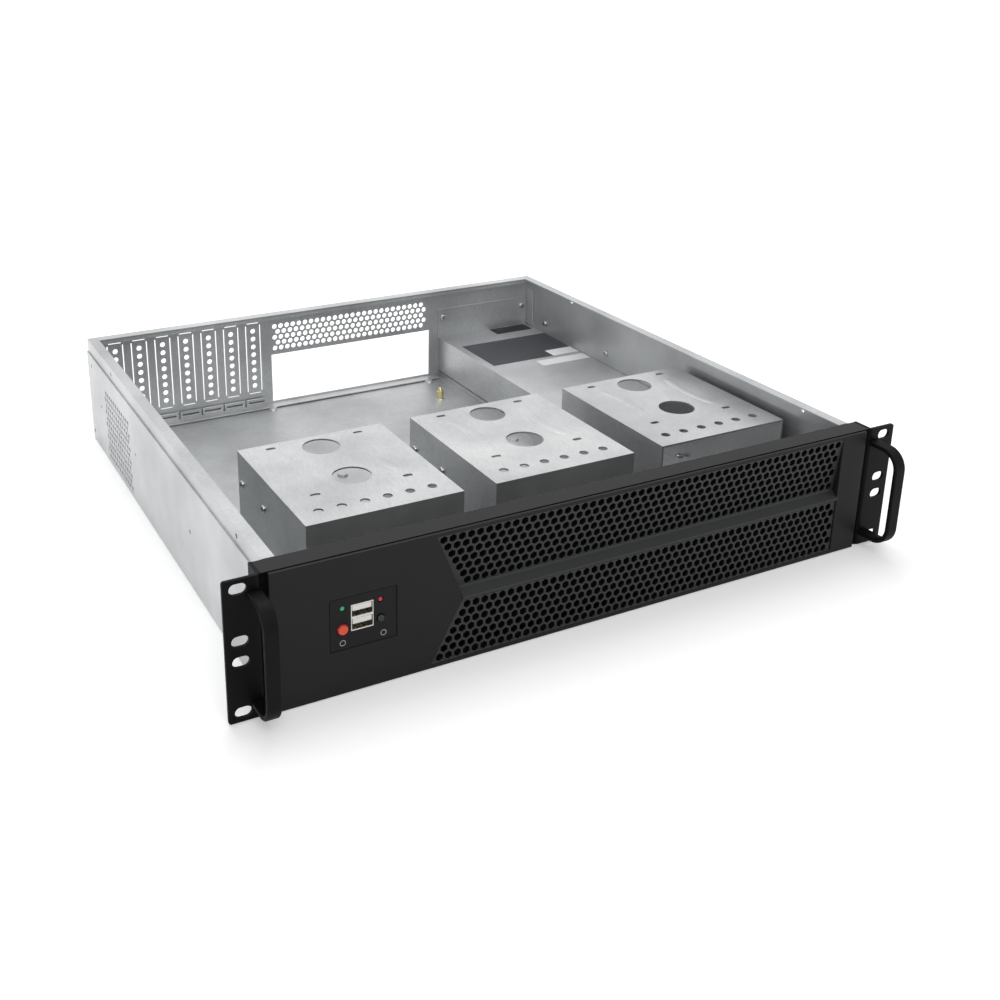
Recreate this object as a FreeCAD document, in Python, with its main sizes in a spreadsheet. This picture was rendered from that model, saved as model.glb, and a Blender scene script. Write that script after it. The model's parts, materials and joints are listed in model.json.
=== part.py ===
import FreeCAD, Part
import math
import os
import Sketcher

# A 2U rackmount server case with its lid off, in millimetres.
# X runs to the right, Y to the back and Z up. The origin is on the underside, in the middle of the
# case's width, in the plane of the rack ears' front faces.

DOC = FreeCAD.newDocument("ServerCase")

SIZES = {
    # The box of the case and its sheet steel
    "body_width": 430.0,
    "body_depth": 430.0,
    "body_height": 88.0,
    "sheet": 1.2,
    "joggle_height": 77.5,
    "lid_flange": 8.0,
    "front_flange": 12.0,
    "touch_gap": 0.2,
    # Side wall openings
    "side_vent_rear": 376.0,
    "side_vent_low": 8.0,
    "vent_pitch": 12.4,
    "vent_row": 10.2,
    "vent_hex": 8.4,
    "side_hole": 3.2,
    "lid_screw_front": 56.0,
    "lid_screw_rear": 351.0,
    # Rear wall
    "rear_flange": 12.0,
    "first_cover": -191.8,
    "slot_pitch": 20.32,
    "cover_width": 13.0,
    "cover_low": 15.0,
    "cover_high": 80.5,
    "slit": 0.9,
    "cover_hole": 4.6,
    "cover_hole_pitch": 7.3,
    "io_left": -53.3,
    "io_width": 158.75,
    "io_low": 4.2,
    "io_height": 44.45,
    "rear_vent_low": 59.4,
    "opening_margin": 3.3,
    # Front frame
    "frame_half": 219.4,
    "frame_back": 15.0,
    "frame_lip": 9.0,
    "flange_screw_low": 14.0,
    "flange_screw_high": 64.0,
    "ear_screw_y": 9.0,
    "ear_screw_low": 18.0,
    "ear_screw_high": 70.0,
    # Bezel and its mesh
    "bezel_half": 215.5,
    "bezel_height": 87.5,
    "bezel_fold": 2.4,
    "mesh_top": 84.0,
    "mesh_bottom": 8.6,
    "mesh_ridge": 44.2,
    "mesh_tip": -94.8,
    "mesh_corner": -116.6,
    "mesh_corner_step": 4.8,
    "mesh_right": 194.5,
    "mesh_depth": 5.0,
    "shelf_rise": 4.6,
    "ridge_reach": 0.8,
    "lower_recess": 1.0,
    "lower_step": 1.2,
    "mesh_pitch": 12.0,
    "mesh_row": 10.4,
    "mesh_hex": 9.2,
    "mesh_top_margin": 6.5,
    "mesh_ridge_margin": 8.3,
    "mesh_side_margin": 6.6,
    # Rack ears and handles
    "ear_height": 88.1,
    "ear_sheet": 2.0,
    "panel_half": 241.3,
    "ear_leg": 15.0,
    "ear_bend": 2.5,
    "slot_centre": 232.55,
    "slot_span": 76.2,
    "slot_pair": 12.7,
    "slot_length": 10.0,
    "slot_width": 6.8,
    "handle_reach": 26.0,
    "handle_width": 8.5,
    "handle_bar": 3.2,
    "handle_height": 71.0,
    "handle_bend": 14.0,
    "handle_offset": 4.2,
    "tenon_width": 5.0,
    "tenon_thick": 2.0,
    # Control panel
    "panel_left": -181.0,
    "panel_right": -139.5,
    "panel_low": 28.5,
    "panel_high": 61.5,
    "panel_thick": 2.0,
    "panel_recess": 0.4,
    "panel_seat": 1.5,
    "board_back": 15.0,
    "board_thick": 1.6,
    "post_radius": 1.7,
    "usb_width": 13.8,
    "usb_tall": 16.6,
    "usb_x": -161.1,
    "usb_z": 47.5,
    "usb_wall": 0.5,
    "tongue_width": 10.6,
    "tongue_thick": 2.0,
    "power_x": -173.1,
    "power_z": 41.6,
    "power_radius": 3.5,
    "reset_x": -149.7,
    "reset_z": 43.1,
    "reset_radius": 2.2,
    "button_proud": 1.3,
    "button_travel": 0.8,
    "button_fit": 0.25,
    "led_radius": 1.5,
    "led_z": 54.8,
    "stem_radius": 1.5,
    "switch_deep": 3.8,
    "switch_half": 3.0,
    # Drive cages
    "cage_first": -166.8,
    "cage_pitch": 132.3,
    "cage_width": 108.6,
    "cage_length": 124.0,
    "cage_front": 67.4,
    "cage_height": 71.4,
    "cage_foot": 10.0,
    "cage_face": 44.0,
    "cage_hole": 13.2,
    "cage_hole_front": 53.4,
    "cage_hole_rear": 105.1,
    "row_hole": 3.25,
    "row_pitch": 15.8,
    "row_place": 15.6,
    "oval_spread": 32.7,
    "oval_front": 37.0,
    "oval_rear": 116.4,
    "oval_length": 7.0,
    "oval_width": 3.6,
    "rib_radius": 95.0,
    "rib_width": 7.0,
    "rib_rise": 0.9,
    "drive_screw_z": 51.0,
    "drive_screw_front": 73.9,
    "drive_screw_span": 41.3,
    "screw_radius": 1.5,
    "head_radius": 2.9,
    "head_rise": 1.8,
    # Power supply
    "psu_width": 98.0,
    "psu_length": 205.0,
    "psu_height": 38.6,
    "psu_sheet": 0.8,
    "psu_seam": 5.1,
    "psu_side_gap": 0.3,
    "fan_size": 38.0,
    "fan_depth": 15.0,
    "fan_bore": 17.6,
    "fan_side_gap": 4.5,
    "fan_hub": 9.0,
    "fan_blade": 17.0,
    "fan_shaft": 1.5,
    "shaft_fit": 0.05,
    "grille_pitch": 6.6,
    "grille_hex": 5.4,
    "wire_hole": 7.0,
    "wire_inset": 21.6,
    "psu_screw_inset": 7.5,
    "psu_screw_rise": 4.4,
    "inlet_collar": 1.8,
    "inlet_socket": 15.0,
    "pin_spread": 7.0,
    "pin_thick": 2.0,
    "inlet_width": 27.0,
    "inlet_height": 20.0,
    "inlet_depth": 22.0,
    "inlet_x": 137.0,
    "plate_high": 67.8,
    "plate_screw_z": 59.5,
    "plate_screw_inset": 5.3,
    "opening_high": 56.0,
    "psu_post_inset": 6.0,
    "transformer_left": 31.0,
    "transformer_front": 70.0,
    "transformer_side": 32.0,
    "transformer_high": 26.0,
    "sink_thick": 3.0,
    "sink_inset": 12.0,
    "sink_front": 40.0,
    "sink_length": 100.0,
    "sink_high": 27.5,
    "bulk_radius": 11.0,
    "bulk_x": 57.0,
    "bulk_y": 130.0,
    "bulk_high": 27.5,
    "small_radius": 5.0,
    "small_x": 35.0,
    "small_span": 20.0,
    "small_y": 40.0,
    "small_high": 19.0,
    "label_thick": 0.15,
    "label_inset": 7.0,
    "label_front": 336.0,
    "label_length": 58.6,
    "strip_left": 162.5,
    "strip_front": 317.0,
    "strip_width": 13.0,
    # Motherboard standoffs
    "board_right": 99.4,
    "board_rear": 417.0,
    "board_middle": 157.48,
    "board_left": 124.46,
    "board_span": 154.94,
    "boss_rise": 2.0,
    "boss_radius": 4.5,
    "standoff_x": 88.5,
    "standoff_y": 373.7,
    "standoff_radius": 2.75,
    "standoff_rise": 8.0,
}


class Length:
    """A number of the sheet, or a sum made from them, with the formula that FreeCAD keeps."""

    def __init__(self, value, formula=None):
        self.value = float(value)
        self.formula = formula or repr(float(value))

    def joined(self, other, sign, value):
        return Length(value, "(%s %s %s)" % (self.formula, sign, other.formula))

    def __add__(self, other):
        other = length(other)
        return self.joined(other, "+", self.value + other.value)

    def __sub__(self, other):
        other = length(other)
        return self.joined(other, "-", self.value - other.value)

    def __mul__(self, other):
        other = length(other)
        return self.joined(other, "*", self.value * other.value)

    def __truediv__(self, other):
        other = length(other)
        return self.joined(other, "/", self.value / other.value)

    def __radd__(self, other):
        return length(other) + self

    def __rsub__(self, other):
        return length(other) - self

    def __rmul__(self, other):
        return length(other) * self

    def __neg__(self):
        return length(0) - self


def length(number):
    return number if isinstance(number, Length) else Length(number)


def make_sheet():
    """Fill the sheet and return its lengths by name."""
    sheet = DOC.addObject("Spreadsheet::Sheet", "Sizes")
    named = {}
    for row, (name, number) in enumerate(SIZES.items(), 1):
        sheet.set("A%d" % row, name)
        sheet.set("B%d" % row, str(number))
        sheet.setAlias("B%d" % row, name)
        named[name] = Length(number, "Sizes." + name)
    DOC.recompute()
    return named


class Names:
    """The sheet's lengths as attributes."""

    def __init__(self, named):
        self.__dict__.update(named)


S = Names(make_sheet())
NODES = []


def bind(thing, **sizes):
    for name, size in sizes.items():
        thing.setExpression(name, length(size).formula)


def place(thing, x, y, z):
    """Bind the thing's position."""
    thing.Placement.Base = FreeCAD.Vector(length(x).value, length(y).value, length(z).value)
    for axis, size in (("x", x), ("y", y), ("z", z)):
        thing.setExpression("Placement.Base." + axis, length(size).formula)


def node(thing, label):
    """Mark the thing as a finished piece; its label names its file."""
    thing.Label = label
    NODES.append(thing)
    return thing


def box(name, x, y, z):
    """A block between pairs of coordinates."""
    block = DOC.addObject("Part::Box", name)
    bind(block, Length=x[1] - x[0], Width=y[1] - y[0], Height=z[1] - z[0])
    place(block, x[0], y[0], z[0])
    return block


AXES = {
    "X": FreeCAD.Rotation(FreeCAD.Vector(0, 1, 0), 90),
    "Y": FreeCAD.Rotation(FreeCAD.Vector(1, 0, 0), -90),
    "Z": FreeCAD.Rotation(),
}


def rod(name, axis, radius, start, reach):
    """A cylinder from start along axis."""
    round_bar = DOC.addObject("Part::Cylinder", name)
    bind(round_bar, Radius=radius, Height=reach)
    round_bar.Placement.Rotation = AXES[axis]
    place(round_bar, *start)
    return round_bar


def prism(name, axis, radius, start, reach, sides=6):
    """A small round thing drawn with few sides, its corners on the radius."""
    bar = DOC.addObject("Part::Prism", name)
    bar.Polygon = sides
    bind(bar, Circumradius=radius, Height=reach)
    bar.Placement.Rotation = AXES[axis]
    place(bar, *start)
    return bar


def fuse(name, pieces):
    joined = DOC.addObject("Part::MultiFuse", name)
    joined.Shapes = pieces
    joined.Refine = True
    return joined


def together(name, pieces):
    """Separate like solids in one node."""
    group = DOC.addObject("Part::Compound", name)
    group.Links = pieces
    return group


def new_body(label):
    return node(DOC.addObject("PartDesign::Body", label), label)


def sketch_on(body, plane, offset, name):
    """A sketch on one of the body's own planes, moved out along the plane's normal."""
    sketch = body.newObject("Sketcher::SketchObject", name)
    role = plane + "_Plane"
    origin = [item for item in body.Origin.OriginFeatures if item.Role == role][0]
    sketch.AttachmentSupport = [(origin, "")]
    sketch.MapMode = "FlatFace"
    sketch.setExpression("AttachmentOffset.Base.z", length(offset).formula)
    return sketch


def pin_point(sketch, line, end, point):
    """Tie the end of a line to its bound coordinates."""
    for kind, size in (("DistanceX", point[0]), ("DistanceY", point[1])):
        size = length(size)
        number = sketch.addConstraint(Sketcher.Constraint(kind, -1, 1, line, end, size.value))
        sketch.setExpression("Constraints[%d]" % number, size.formula)


def flat(point):
    return FreeCAD.Vector(length(point[0]).value, length(point[1]).value, 0)


def add_loop(sketch, points):
    """A closed outline of straight lines through bound points."""
    first = sketch.GeometryCount
    for index, point in enumerate(points):
        following = points[(index + 1) % len(points)]
        sketch.addGeometry(Part.LineSegment(flat(point), flat(following)), False)
    for index, point in enumerate(points):
        following = first + (index + 1) % len(points)
        sketch.addConstraint(Sketcher.Constraint("Coincident", first + index, 2, following, 1))
        pin_point(sketch, first + index, 1, point)


def add_circle(sketch, centre, radius):
    radius = length(radius)
    number = sketch.addGeometry(Part.Circle(flat(centre), FreeCAD.Vector(0, 0, 1), radius.value), False)
    pin_point(sketch, number, 3, centre)
    rule = sketch.addConstraint(Sketcher.Constraint("Radius", number, radius.value))
    sketch.setExpression("Constraints[%d]" % rule, radius.formula)


def rectangle(x, y):
    return [(x[0], y[0]), (x[1], y[0]), (x[1], y[1]), (x[0], y[1])]


def hexagon(centre, across, upright=True):
    """Six corners, pointing up where upright, for a hole so far across its flats."""
    corner = across / math.sqrt(3)
    half = across / 2
    steps = [(0, corner), (-half, corner / 2), (-half, -corner / 2)]
    steps += [(0, -corner), (half, -corner / 2), (half, corner / 2)]
    if not upright:
        steps = [(rise, side) for side, rise in steps]
    return [(centre[0] + step[0], centre[1] + step[1]) for step in steps]


def small_hole(centre, radius, sides=6):
    """Corners of a small hole, drawn with few sides that all clear its radius."""
    corner = radius / math.cos(math.pi / sides)
    corners = []
    for index in range(sides):
        turn = math.pi * (2 * index + 1) / sides
        along, across = round(math.cos(turn), 6), round(math.sin(turn), 6)
        corners.append((centre[0] + corner * along, centre[1] + corner * across))
    return corners


def screw_hole(spot):
    return small_hole(spot, S.screw_radius + S.touch_gap)


def small_slot(centre, long, wide):
    """Six corners of a small oval, long along the first axis."""
    tip, shoulder, half = long / 2, long / 2 - wide / 4, wide / 2
    steps = [(tip, 0), (shoulder, half), (-shoulder, half), (-tip, 0), (-shoulder, -half), (shoulder, -half)]
    return [(centre[0] + along, centre[1] + across) for along, across in steps]


def add_slot(sketch, centre, long, wide):
    """A slot with round ends, long along the sketch's first axis."""
    radius = length(wide) / 2
    reach = (length(long) - wide) / 2
    normal = FreeCAD.Vector(0, 0, 1)
    ends = []
    for side, start in ((-1, math.pi / 2), (1, -math.pi / 2)):
        middle = (centre[0] + reach * side, centre[1])
        arc = Part.ArcOfCircle(Part.Circle(flat(middle), normal, radius.value), start, start + math.pi)
        number = sketch.addGeometry(arc, False)
        pin_point(sketch, number, 3, middle)
        ends.append(number)
    left, right = ends
    for rise, from_end, to_end in ((1, 1, 2), (-1, 2, 1)):
        start = (centre[0] - reach, centre[1] + radius * rise)
        finish = (centre[0] + reach, centre[1] + radius * rise)
        line = sketch.addGeometry(Part.LineSegment(flat(start), flat(finish)), False)
        sketch.addConstraint(Sketcher.Constraint("Tangent", left, from_end, line, 1))
        sketch.addConstraint(Sketcher.Constraint("Tangent", right, to_end, line, 2))
    sketch.addConstraint(Sketcher.Constraint("Equal", left, right))
    rule = sketch.addConstraint(Sketcher.Constraint("Radius", left, radius.value))
    sketch.setExpression("Constraints[%d]" % rule, radius.formula)


def add_arched_band(sketch, centre, radius, width, low, high):
    """A strip between two arcs about one centre, ended square at two heights."""
    normal = FreeCAD.Vector(0, 0, 1)
    side = 1 if length(radius).value > 0 else -1
    arcs = []
    for edge in (length(radius) * side - width / 2, length(radius) * side + width / 2):
        middle = (length(low).value + length(high).value) / 2
        rise = math.asin((length(high).value - middle) / edge.value)
        start, finish = (-rise, rise) if side > 0 else (math.pi - rise, math.pi + rise)
        arc = Part.ArcOfCircle(Part.Circle(flat(centre), normal, edge.value), start, finish)
        number = sketch.addGeometry(arc, False)
        pin_point(sketch, number, 3, centre)
        rule = sketch.addConstraint(Sketcher.Constraint("Radius", number, edge.value))
        sketch.setExpression("Constraints[%d]" % rule, edge.formula)
        arcs.append(number)
    for end in (1, 2):
        height = low if (end == 1) == (side > 0) else high
        ends = [sketch.getPoint(arc, end) for arc in arcs]
        line = sketch.addGeometry(Part.LineSegment(ends[0], ends[1]), False)
        for place_on_line, arc in enumerate(arcs, 1):
            sketch.addConstraint(Sketcher.Constraint("Coincident", line, place_on_line, arc, end))
            height = length(height)
            rule = Sketcher.Constraint("DistanceY", -1, 1, line, place_on_line, height.value)
            number = sketch.addConstraint(rule)
            sketch.setExpression("Constraints[%d]" % number, height.formula)


def draw(body, plane, at, name, loops=(), circles=(), slots=(), bands=()):
    """A sketch of closed outlines on a plane at a coordinate along the plane's axis."""
    sketch = sketch_on(body, plane, -length(at) if plane == "XZ" else at, name + "_sketch")
    for loop in loops:
        add_loop(sketch, loop)
    for circle in circles:
        add_circle(sketch, *circle)
    for slot in slots:
        add_slot(sketch, *slot)
    for band in bands:
        add_arched_band(sketch, *band)
    return sketch


def pad(body, name, plane, at, thickness, **outlines):
    """Raise outlines from a plane towards larger coordinates."""
    feature = body.newObject("PartDesign::Pad", name)
    feature.Profile = draw(body, plane, at, name, **outlines)
    feature.Reversed = plane == "XZ"
    bind(feature, Length=thickness)
    body.Tip = feature
    DOC.recompute()
    return feature


def pocket(body, name, plane, at, depth, **outlines):
    """Cut outlines from a plane towards larger coordinates."""
    before = body.Shape.Volume
    feature = body.newObject("PartDesign::Pocket", name)
    feature.Profile = draw(body, plane, at, name, **outlines)
    feature.Reversed = plane != "XZ"
    feature.Refine = False
    bind(feature, Length=depth)
    body.Tip = feature
    DOC.recompute()
    if body.Shape.Volume >= before:
        raise ValueError(name + " cuts nothing")
    return feature


def repeat(body, feature, columns, column_pitch, rows=1, row_pitch=0):
    """Repeat a feature along the two axes of its sketch."""
    sketch = feature.Profile[0]
    lines = []
    for axis, count, pitch in (("H_Axis", columns, column_pitch), ("V_Axis", rows, row_pitch)):
        if count > 1:
            line = DOC.addObject("PartDesign::LinearPattern", feature.Name + "_row")
            line.Direction = (sketch, [axis])
            line.Occurrences = count
            bind(line, Length=length(pitch) * (count - 1))
            lines.append(line)
    many = body.newObject("PartDesign::MultiTransform", feature.Name + "_many")
    many.Originals = [feature]
    many.Refine = False
    for line in lines:
        body.addObject(line)
    many.Transformations = lines
    body.Tip = many
    DOC.recompute()
    return many


def soften(body, name, radius, wanted):
    """Round the body's edges that the test picks out by their middle point and direction."""
    base = body.Tip
    chosen = []
    for index, edge in enumerate(base.Shape.Edges, 1):
        if isinstance(edge.Curve, Part.Line) and wanted(edge.CenterOfMass, edge.tangentAt(edge.FirstParameter)):
            chosen.append("Edge%d" % index)
    fillet = body.newObject("PartDesign::Fillet", name)
    fillet.Base = (base, chosen)
    bind(fillet, Radius=radius)
    body.Tip = fillet
    DOC.recompute()
    return fillet


def near(number, size):
    return abs(number - length(size).value) < 0.01


# Planes and edges that several pieces share
HALF = S.body_width / 2
BAND = HALF - S.sheet
TOP = S.body_height
BEZEL_FACE = -S.sheet
FRAME_FACE = BEZEL_FACE + S.bezel_fold
FRAME_REAR = FRAME_FACE + S.sheet
WALL_INSIDE = S.body_depth - S.sheet
FLOOR = S.sheet
PSU_RIGHT = HALF - S.sheet - S.psu_side_gap
PSU_LEFT = PSU_RIGHT - S.psu_width
PSU_REAR = WALL_INSIDE - S.sheet
PSU_FRONT = PSU_REAR - S.psu_length
PSU_TOP = FLOOR + S.psu_height
FAN_LEFT = PSU_RIGHT - S.fan_side_gap - S.fan_size
FAN_X = FAN_LEFT + S.fan_size / 2
FAN_LOW = FLOOR + S.psu_sheet
FAN_Z = FAN_LOW + S.fan_size / 2
FAN_REAR = PSU_REAR - S.psu_sheet
INLET_Z = FLOOR + S.psu_height / 2
PLATE_LEFT = PSU_LEFT - S.sheet
PLATE_RIGHT = PSU_RIGHT - S.sheet
WIRE_X = PSU_LEFT + S.wire_inset
FLANGE_SCREW_X = HALF - S.front_flange / 2 - S.sheet / 2
FLANGE_SCREWS = [S.flange_screw_low, S.flange_screw_high]
EAR_SCREWS = [S.ear_screw_low, S.ear_screw_high]
LID_SCREW_Z = (S.joggle_height + TOP) / 2
UPPER_CORNER = S.mesh_corner + S.mesh_corner_step
HANDLE_X = S.frame_half + S.handle_offset
HANDLE_LOW = (S.body_height - S.handle_height) / 2
PANEL_FACE = FRAME_FACE - S.panel_thick
BOARD_FACE = S.board_back - S.board_thick

# Holes in the side walls, as Y and Z
SIDE_HOLES = [(415.7, 68.5), (389.8, 41.8), (424.0, 8.2), (283.3, 41.7), (148.8, 41.6)]
RIGHT_WALL_SCREWS = [(395.0, 49.0), (295.5, 50.0)]

# Counts
SIDE_VENT_COLUMNS = 6
SIDE_VENT_ROWS = 3
REAR_VENT_COLUMNS = 12
COVERS = 7
COVER_HOLES = 8
MESH_ROWS = 3
CAGES = 3
CLOSED_CAGES = 2
ROW_HOLES = 6
CAGE_HOLE_SIDES = 20
GRILLE_ROWS = [3, 4, 5, 4, 3]
BLADES = 7
BLADE_PITCH = 38
FAN_SIDES = 28
HEAD_SIDES = 8

SIDE_VENT_SPAN = S.vent_pitch * (SIDE_VENT_COLUMNS - 0.5) + S.vent_hex / 2
ROW_SHARE = math.sqrt(0.75)


def both_sides(points):
    """Mirror the right-hand half of an outline to the left."""
    return points + [(-x, z) for x, z in reversed(points)]


def chassis_pan():
    """Floor and side walls folded from one sheet, stepped in above the joggle to seat a lid."""
    body = new_body("chassis_pan")
    right = [
        (HALF, 0), (HALF, S.joggle_height), (BAND, S.joggle_height), (BAND, TOP),
        (BAND - S.lid_flange, TOP), (BAND - S.lid_flange, TOP - S.sheet),
        (BAND - S.sheet, TOP - S.sheet), (BAND - S.sheet, S.joggle_height - S.sheet),
        (BAND, S.joggle_height - S.sheet), (BAND, FLOOR),
    ]
    pad(body, "pan_fold", "XZ", FRAME_REAR, WALL_INSIDE - FRAME_REAR, loops=[both_sides(right)])
    under_lip = TOP - S.sheet - S.touch_gap
    lip_end = S.frame_back + S.touch_gap
    pocket(body, "pan_lip_room", "XY", under_lip, S.sheet + S.touch_gap,
           loops=[rectangle((-HALF, HALF), (FRAME_REAR, lip_end))])
    flanges = [rectangle((side * HALF - side * S.front_flange, side * BAND), (FLOOR, S.joggle_height - S.sheet))
               for side in (-1, 1)]
    pad(body, "pan_front_flanges", "XZ", FRAME_REAR, S.sheet, loops=flanges)
    holes = [screw_hole((side * FLANGE_SCREW_X, z)) for side in (-1, 1) for z in FLANGE_SCREWS]
    pocket(body, "pan_flange_holes", "XZ", FRAME_REAR, S.sheet, loops=holes)
    reach = S.sheet * 2
    first = (S.side_vent_rear - SIDE_VENT_SPAN, S.side_vent_low)
    second = (first[0] + S.vent_pitch / 2, first[1] + S.vent_row)
    vent = pocket(body, "side_vent", "YZ", -HALF, reach,
                  loops=[hexagon(first, S.vent_hex), hexagon(second, S.vent_hex)])
    repeat(body, vent, SIDE_VENT_COLUMNS, S.vent_pitch, SIDE_VENT_ROWS, S.vent_row * 2)
    pocket(body, "left_wall_holes", "YZ", -HALF, reach,
           loops=[small_hole(spot, S.side_hole / 2) for spot in SIDE_HOLES])
    pocket(body, "right_wall_holes", "YZ", BAND, S.sheet,
           loops=[screw_hole(spot) for spot in RIGHT_WALL_SCREWS])
    lid_holes = [small_hole((y, LID_SCREW_Z), S.side_hole / 2) for y in (S.lid_screw_front, S.lid_screw_rear)]
    pocket(body, "lid_holes", "YZ", -HALF, S.body_width, loops=lid_holes)
    pad(body, "floor_bosses", "XY", FLOOR, S.boss_rise,
        loops=[small_hole(spot, S.boss_radius, HEAD_SIDES) for spot in board_holes()])
    feet = cage_feet(0)
    foot = pocket(body, "cage_foot_holes", "XY", 0, FLOOR, loops=[screw_hole(spot) for spot in feet])
    repeat(body, foot, CAGES, S.cage_pitch)


def board_holes():
    """The motherboard's six mounting places."""
    columns = [S.board_right, S.board_right - S.board_middle, S.board_right - S.board_middle - S.board_left]
    return [(x, y) for x in columns for y in (S.board_rear, S.board_rear - S.board_span)]


def cage_left(number):
    return S.cage_first + S.cage_pitch * number


def cage_feet(number):
    """Where a cage's feet are screwed to the floor."""
    left, inset = cage_left(number), S.cage_foot / 2
    return [(x, y) for x in (left + inset, left + S.cage_width - inset)
            for y in (S.cage_front + S.cage_foot * 2, S.cage_front + S.cage_length - S.cage_foot * 2)]


def rear_panel():
    """Rear wall with slot covers still attached, the board's connector opening and a vent."""
    body = new_body("rear_panel")
    right = [(HALF, 0), (HALF, S.joggle_height), (BAND, S.joggle_height), (BAND, TOP)]
    pad(body, "rear_wall", "XZ", WALL_INSIDE, S.sheet, loops=[both_sides(right)])
    inner = BAND - S.sheet
    flange = BAND - S.lid_flange
    pad(body, "rear_lid_flange", "XY", TOP - S.sheet, S.sheet,
        loops=[rectangle((-flange, flange), (WALL_INSIDE - S.lid_flange, WALL_INSIDE))])
    side_span = (WALL_INSIDE - S.rear_flange, WALL_INSIDE)
    pad(body, "rear_left_flange", "XY", FLOOR, S.joggle_height - S.sheet * 2,
        loops=[rectangle((-BAND, -inner), side_span)])
    over_psu = PSU_TOP + S.sheet
    pad(body, "rear_right_flange", "XY", over_psu, S.joggle_height - S.sheet - over_psu,
        loops=[rectangle((inner, BAND), side_span)])
    low, high = S.cover_low, S.cover_high
    side = S.cover_width / 2
    slits = []
    for edge in (-side, side):
        slits.append(rectangle((S.first_cover + edge - S.slit / 2, S.first_cover + edge + S.slit / 2),
                               (low + S.slit * 2, high - S.slit * 2)))
    for edge in (low, high):
        slits.append(rectangle((S.first_cover - side + S.slit, S.first_cover + side - S.slit),
                               (edge - S.slit / 2, edge + S.slit / 2)))
    outline = pocket(body, "cover_slits", "XZ", WALL_INSIDE, S.sheet, loops=slits)
    repeat(body, outline, COVERS, S.slot_pitch)
    start = (low + high) / 2 - S.cover_hole_pitch * ((COVER_HOLES - 1) / 2)
    hole = pocket(body, "cover_holes", "XZ", WALL_INSIDE, S.sheet,
                  loops=[hexagon((S.first_cover, start), S.cover_hole)])
    repeat(body, hole, COVERS, S.slot_pitch, COVER_HOLES, S.cover_hole_pitch)
    opening = rectangle((S.io_left, S.io_left + S.io_width), (S.io_low, S.io_low + S.io_height))
    pocket(body, "io_opening", "XZ", WALL_INSIDE, S.sheet, loops=[opening])
    first = (S.io_left + S.vent_hex, S.rear_vent_low)
    second = (first[0] + S.vent_pitch / 2, first[1] + S.vent_row)
    vent = pocket(body, "rear_vent", "XZ", WALL_INSIDE, S.sheet,
                  loops=[hexagon(first, S.vent_hex), hexagon(second, S.vent_hex)])
    repeat(body, vent, REAR_VENT_COLUMNS, S.vent_pitch)
    supply = rectangle((PSU_LEFT + S.opening_margin, PSU_RIGHT - S.opening_margin),
                       (FLOOR + S.sheet, S.opening_high))
    pocket(body, "supply_opening", "XZ", WALL_INSIDE, S.sheet, loops=[supply])
    plate_holes = [screw_hole((x, S.plate_screw_z)) for x in plate_screws()]
    pocket(body, "plate_holes", "XZ", WALL_INSIDE, S.sheet, loops=plate_holes)


def front_frame():
    """Folded frame behind the bezel, with the case's front edge and the ears' fixings."""
    body = new_body("front_frame")
    half = S.frame_half
    wall = rectangle((-half, half), (0, TOP))
    pad(body, "frame_wall", "XZ", FRAME_FACE, S.sheet, loops=[wall])
    depth = S.frame_back - FRAME_REAR
    wings = [(-half, -half + S.sheet), (half - S.sheet, half)]
    pad(body, "frame_wings", "XZ", FRAME_REAR, depth, loops=[rectangle(x, (0, TOP - S.sheet)) for x in wings])
    pad(body, "frame_top", "XZ", FRAME_REAR, depth, loops=[rectangle((-half, half), (TOP - S.sheet, TOP))])
    lip = HALF - S.front_flange - S.sheet
    pad(body, "frame_lip", "XZ", FRAME_REAR, S.frame_lip, loops=[rectangle((-lip, lip), (FLOOR, FLOOR * 2))])
    edge = S.sheet + S.touch_gap
    mesh = rectangle((S.mesh_corner - edge, S.mesh_right + edge), (S.mesh_bottom - edge, S.mesh_top + edge))
    inset = S.panel_seat
    control = rectangle((S.panel_left + inset, S.panel_right - inset),
                        (S.panel_low + inset, S.panel_high - inset))
    pocket(body, "frame_windows", "XZ", FRAME_FACE, S.sheet, loops=[mesh, control])
    holes = [screw_hole((side * FLANGE_SCREW_X, z)) for side in (-1, 1) for z in FLANGE_SCREWS]
    pocket(body, "frame_holes", "XZ", FRAME_FACE, S.sheet, loops=holes)
    pocket(body, "wing_holes", "YZ", -half, half * 2,
           loops=[screw_hole((S.ear_screw_y, z)) for z in EAR_SCREWS])


def mesh_rows():
    """Start and count of each row of hexagonal holes, top row first."""
    last = S.mesh_right - S.mesh_pitch / 2
    rows = []
    upper = S.mesh_top - S.mesh_top_margin
    lower = S.mesh_ridge - S.mesh_ridge_margin
    slant_up = (S.mesh_tip - UPPER_CORNER) / (S.mesh_top - S.mesh_ridge)
    for index in range(MESH_ROWS):
        height = upper - S.mesh_row * index
        start = UPPER_CORNER + slant_up * (S.mesh_top - upper)
        start = start + S.mesh_side_margin + S.mesh_pitch * (index / 2)
        rows.append((start, height))
    slant_down = (S.mesh_tip - S.mesh_corner) / (S.mesh_ridge - S.mesh_bottom)
    for index in range(MESH_ROWS):
        height = lower - S.mesh_row * index
        start = S.mesh_tip - slant_down * (S.mesh_ridge - lower)
        start = start + S.mesh_side_margin - S.mesh_pitch * (index / 2)
        rows.append((start, height))
    return [(start, height, int((last.value - start.value) / S.mesh_pitch.value) + 1) for start, height in rows]


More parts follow.
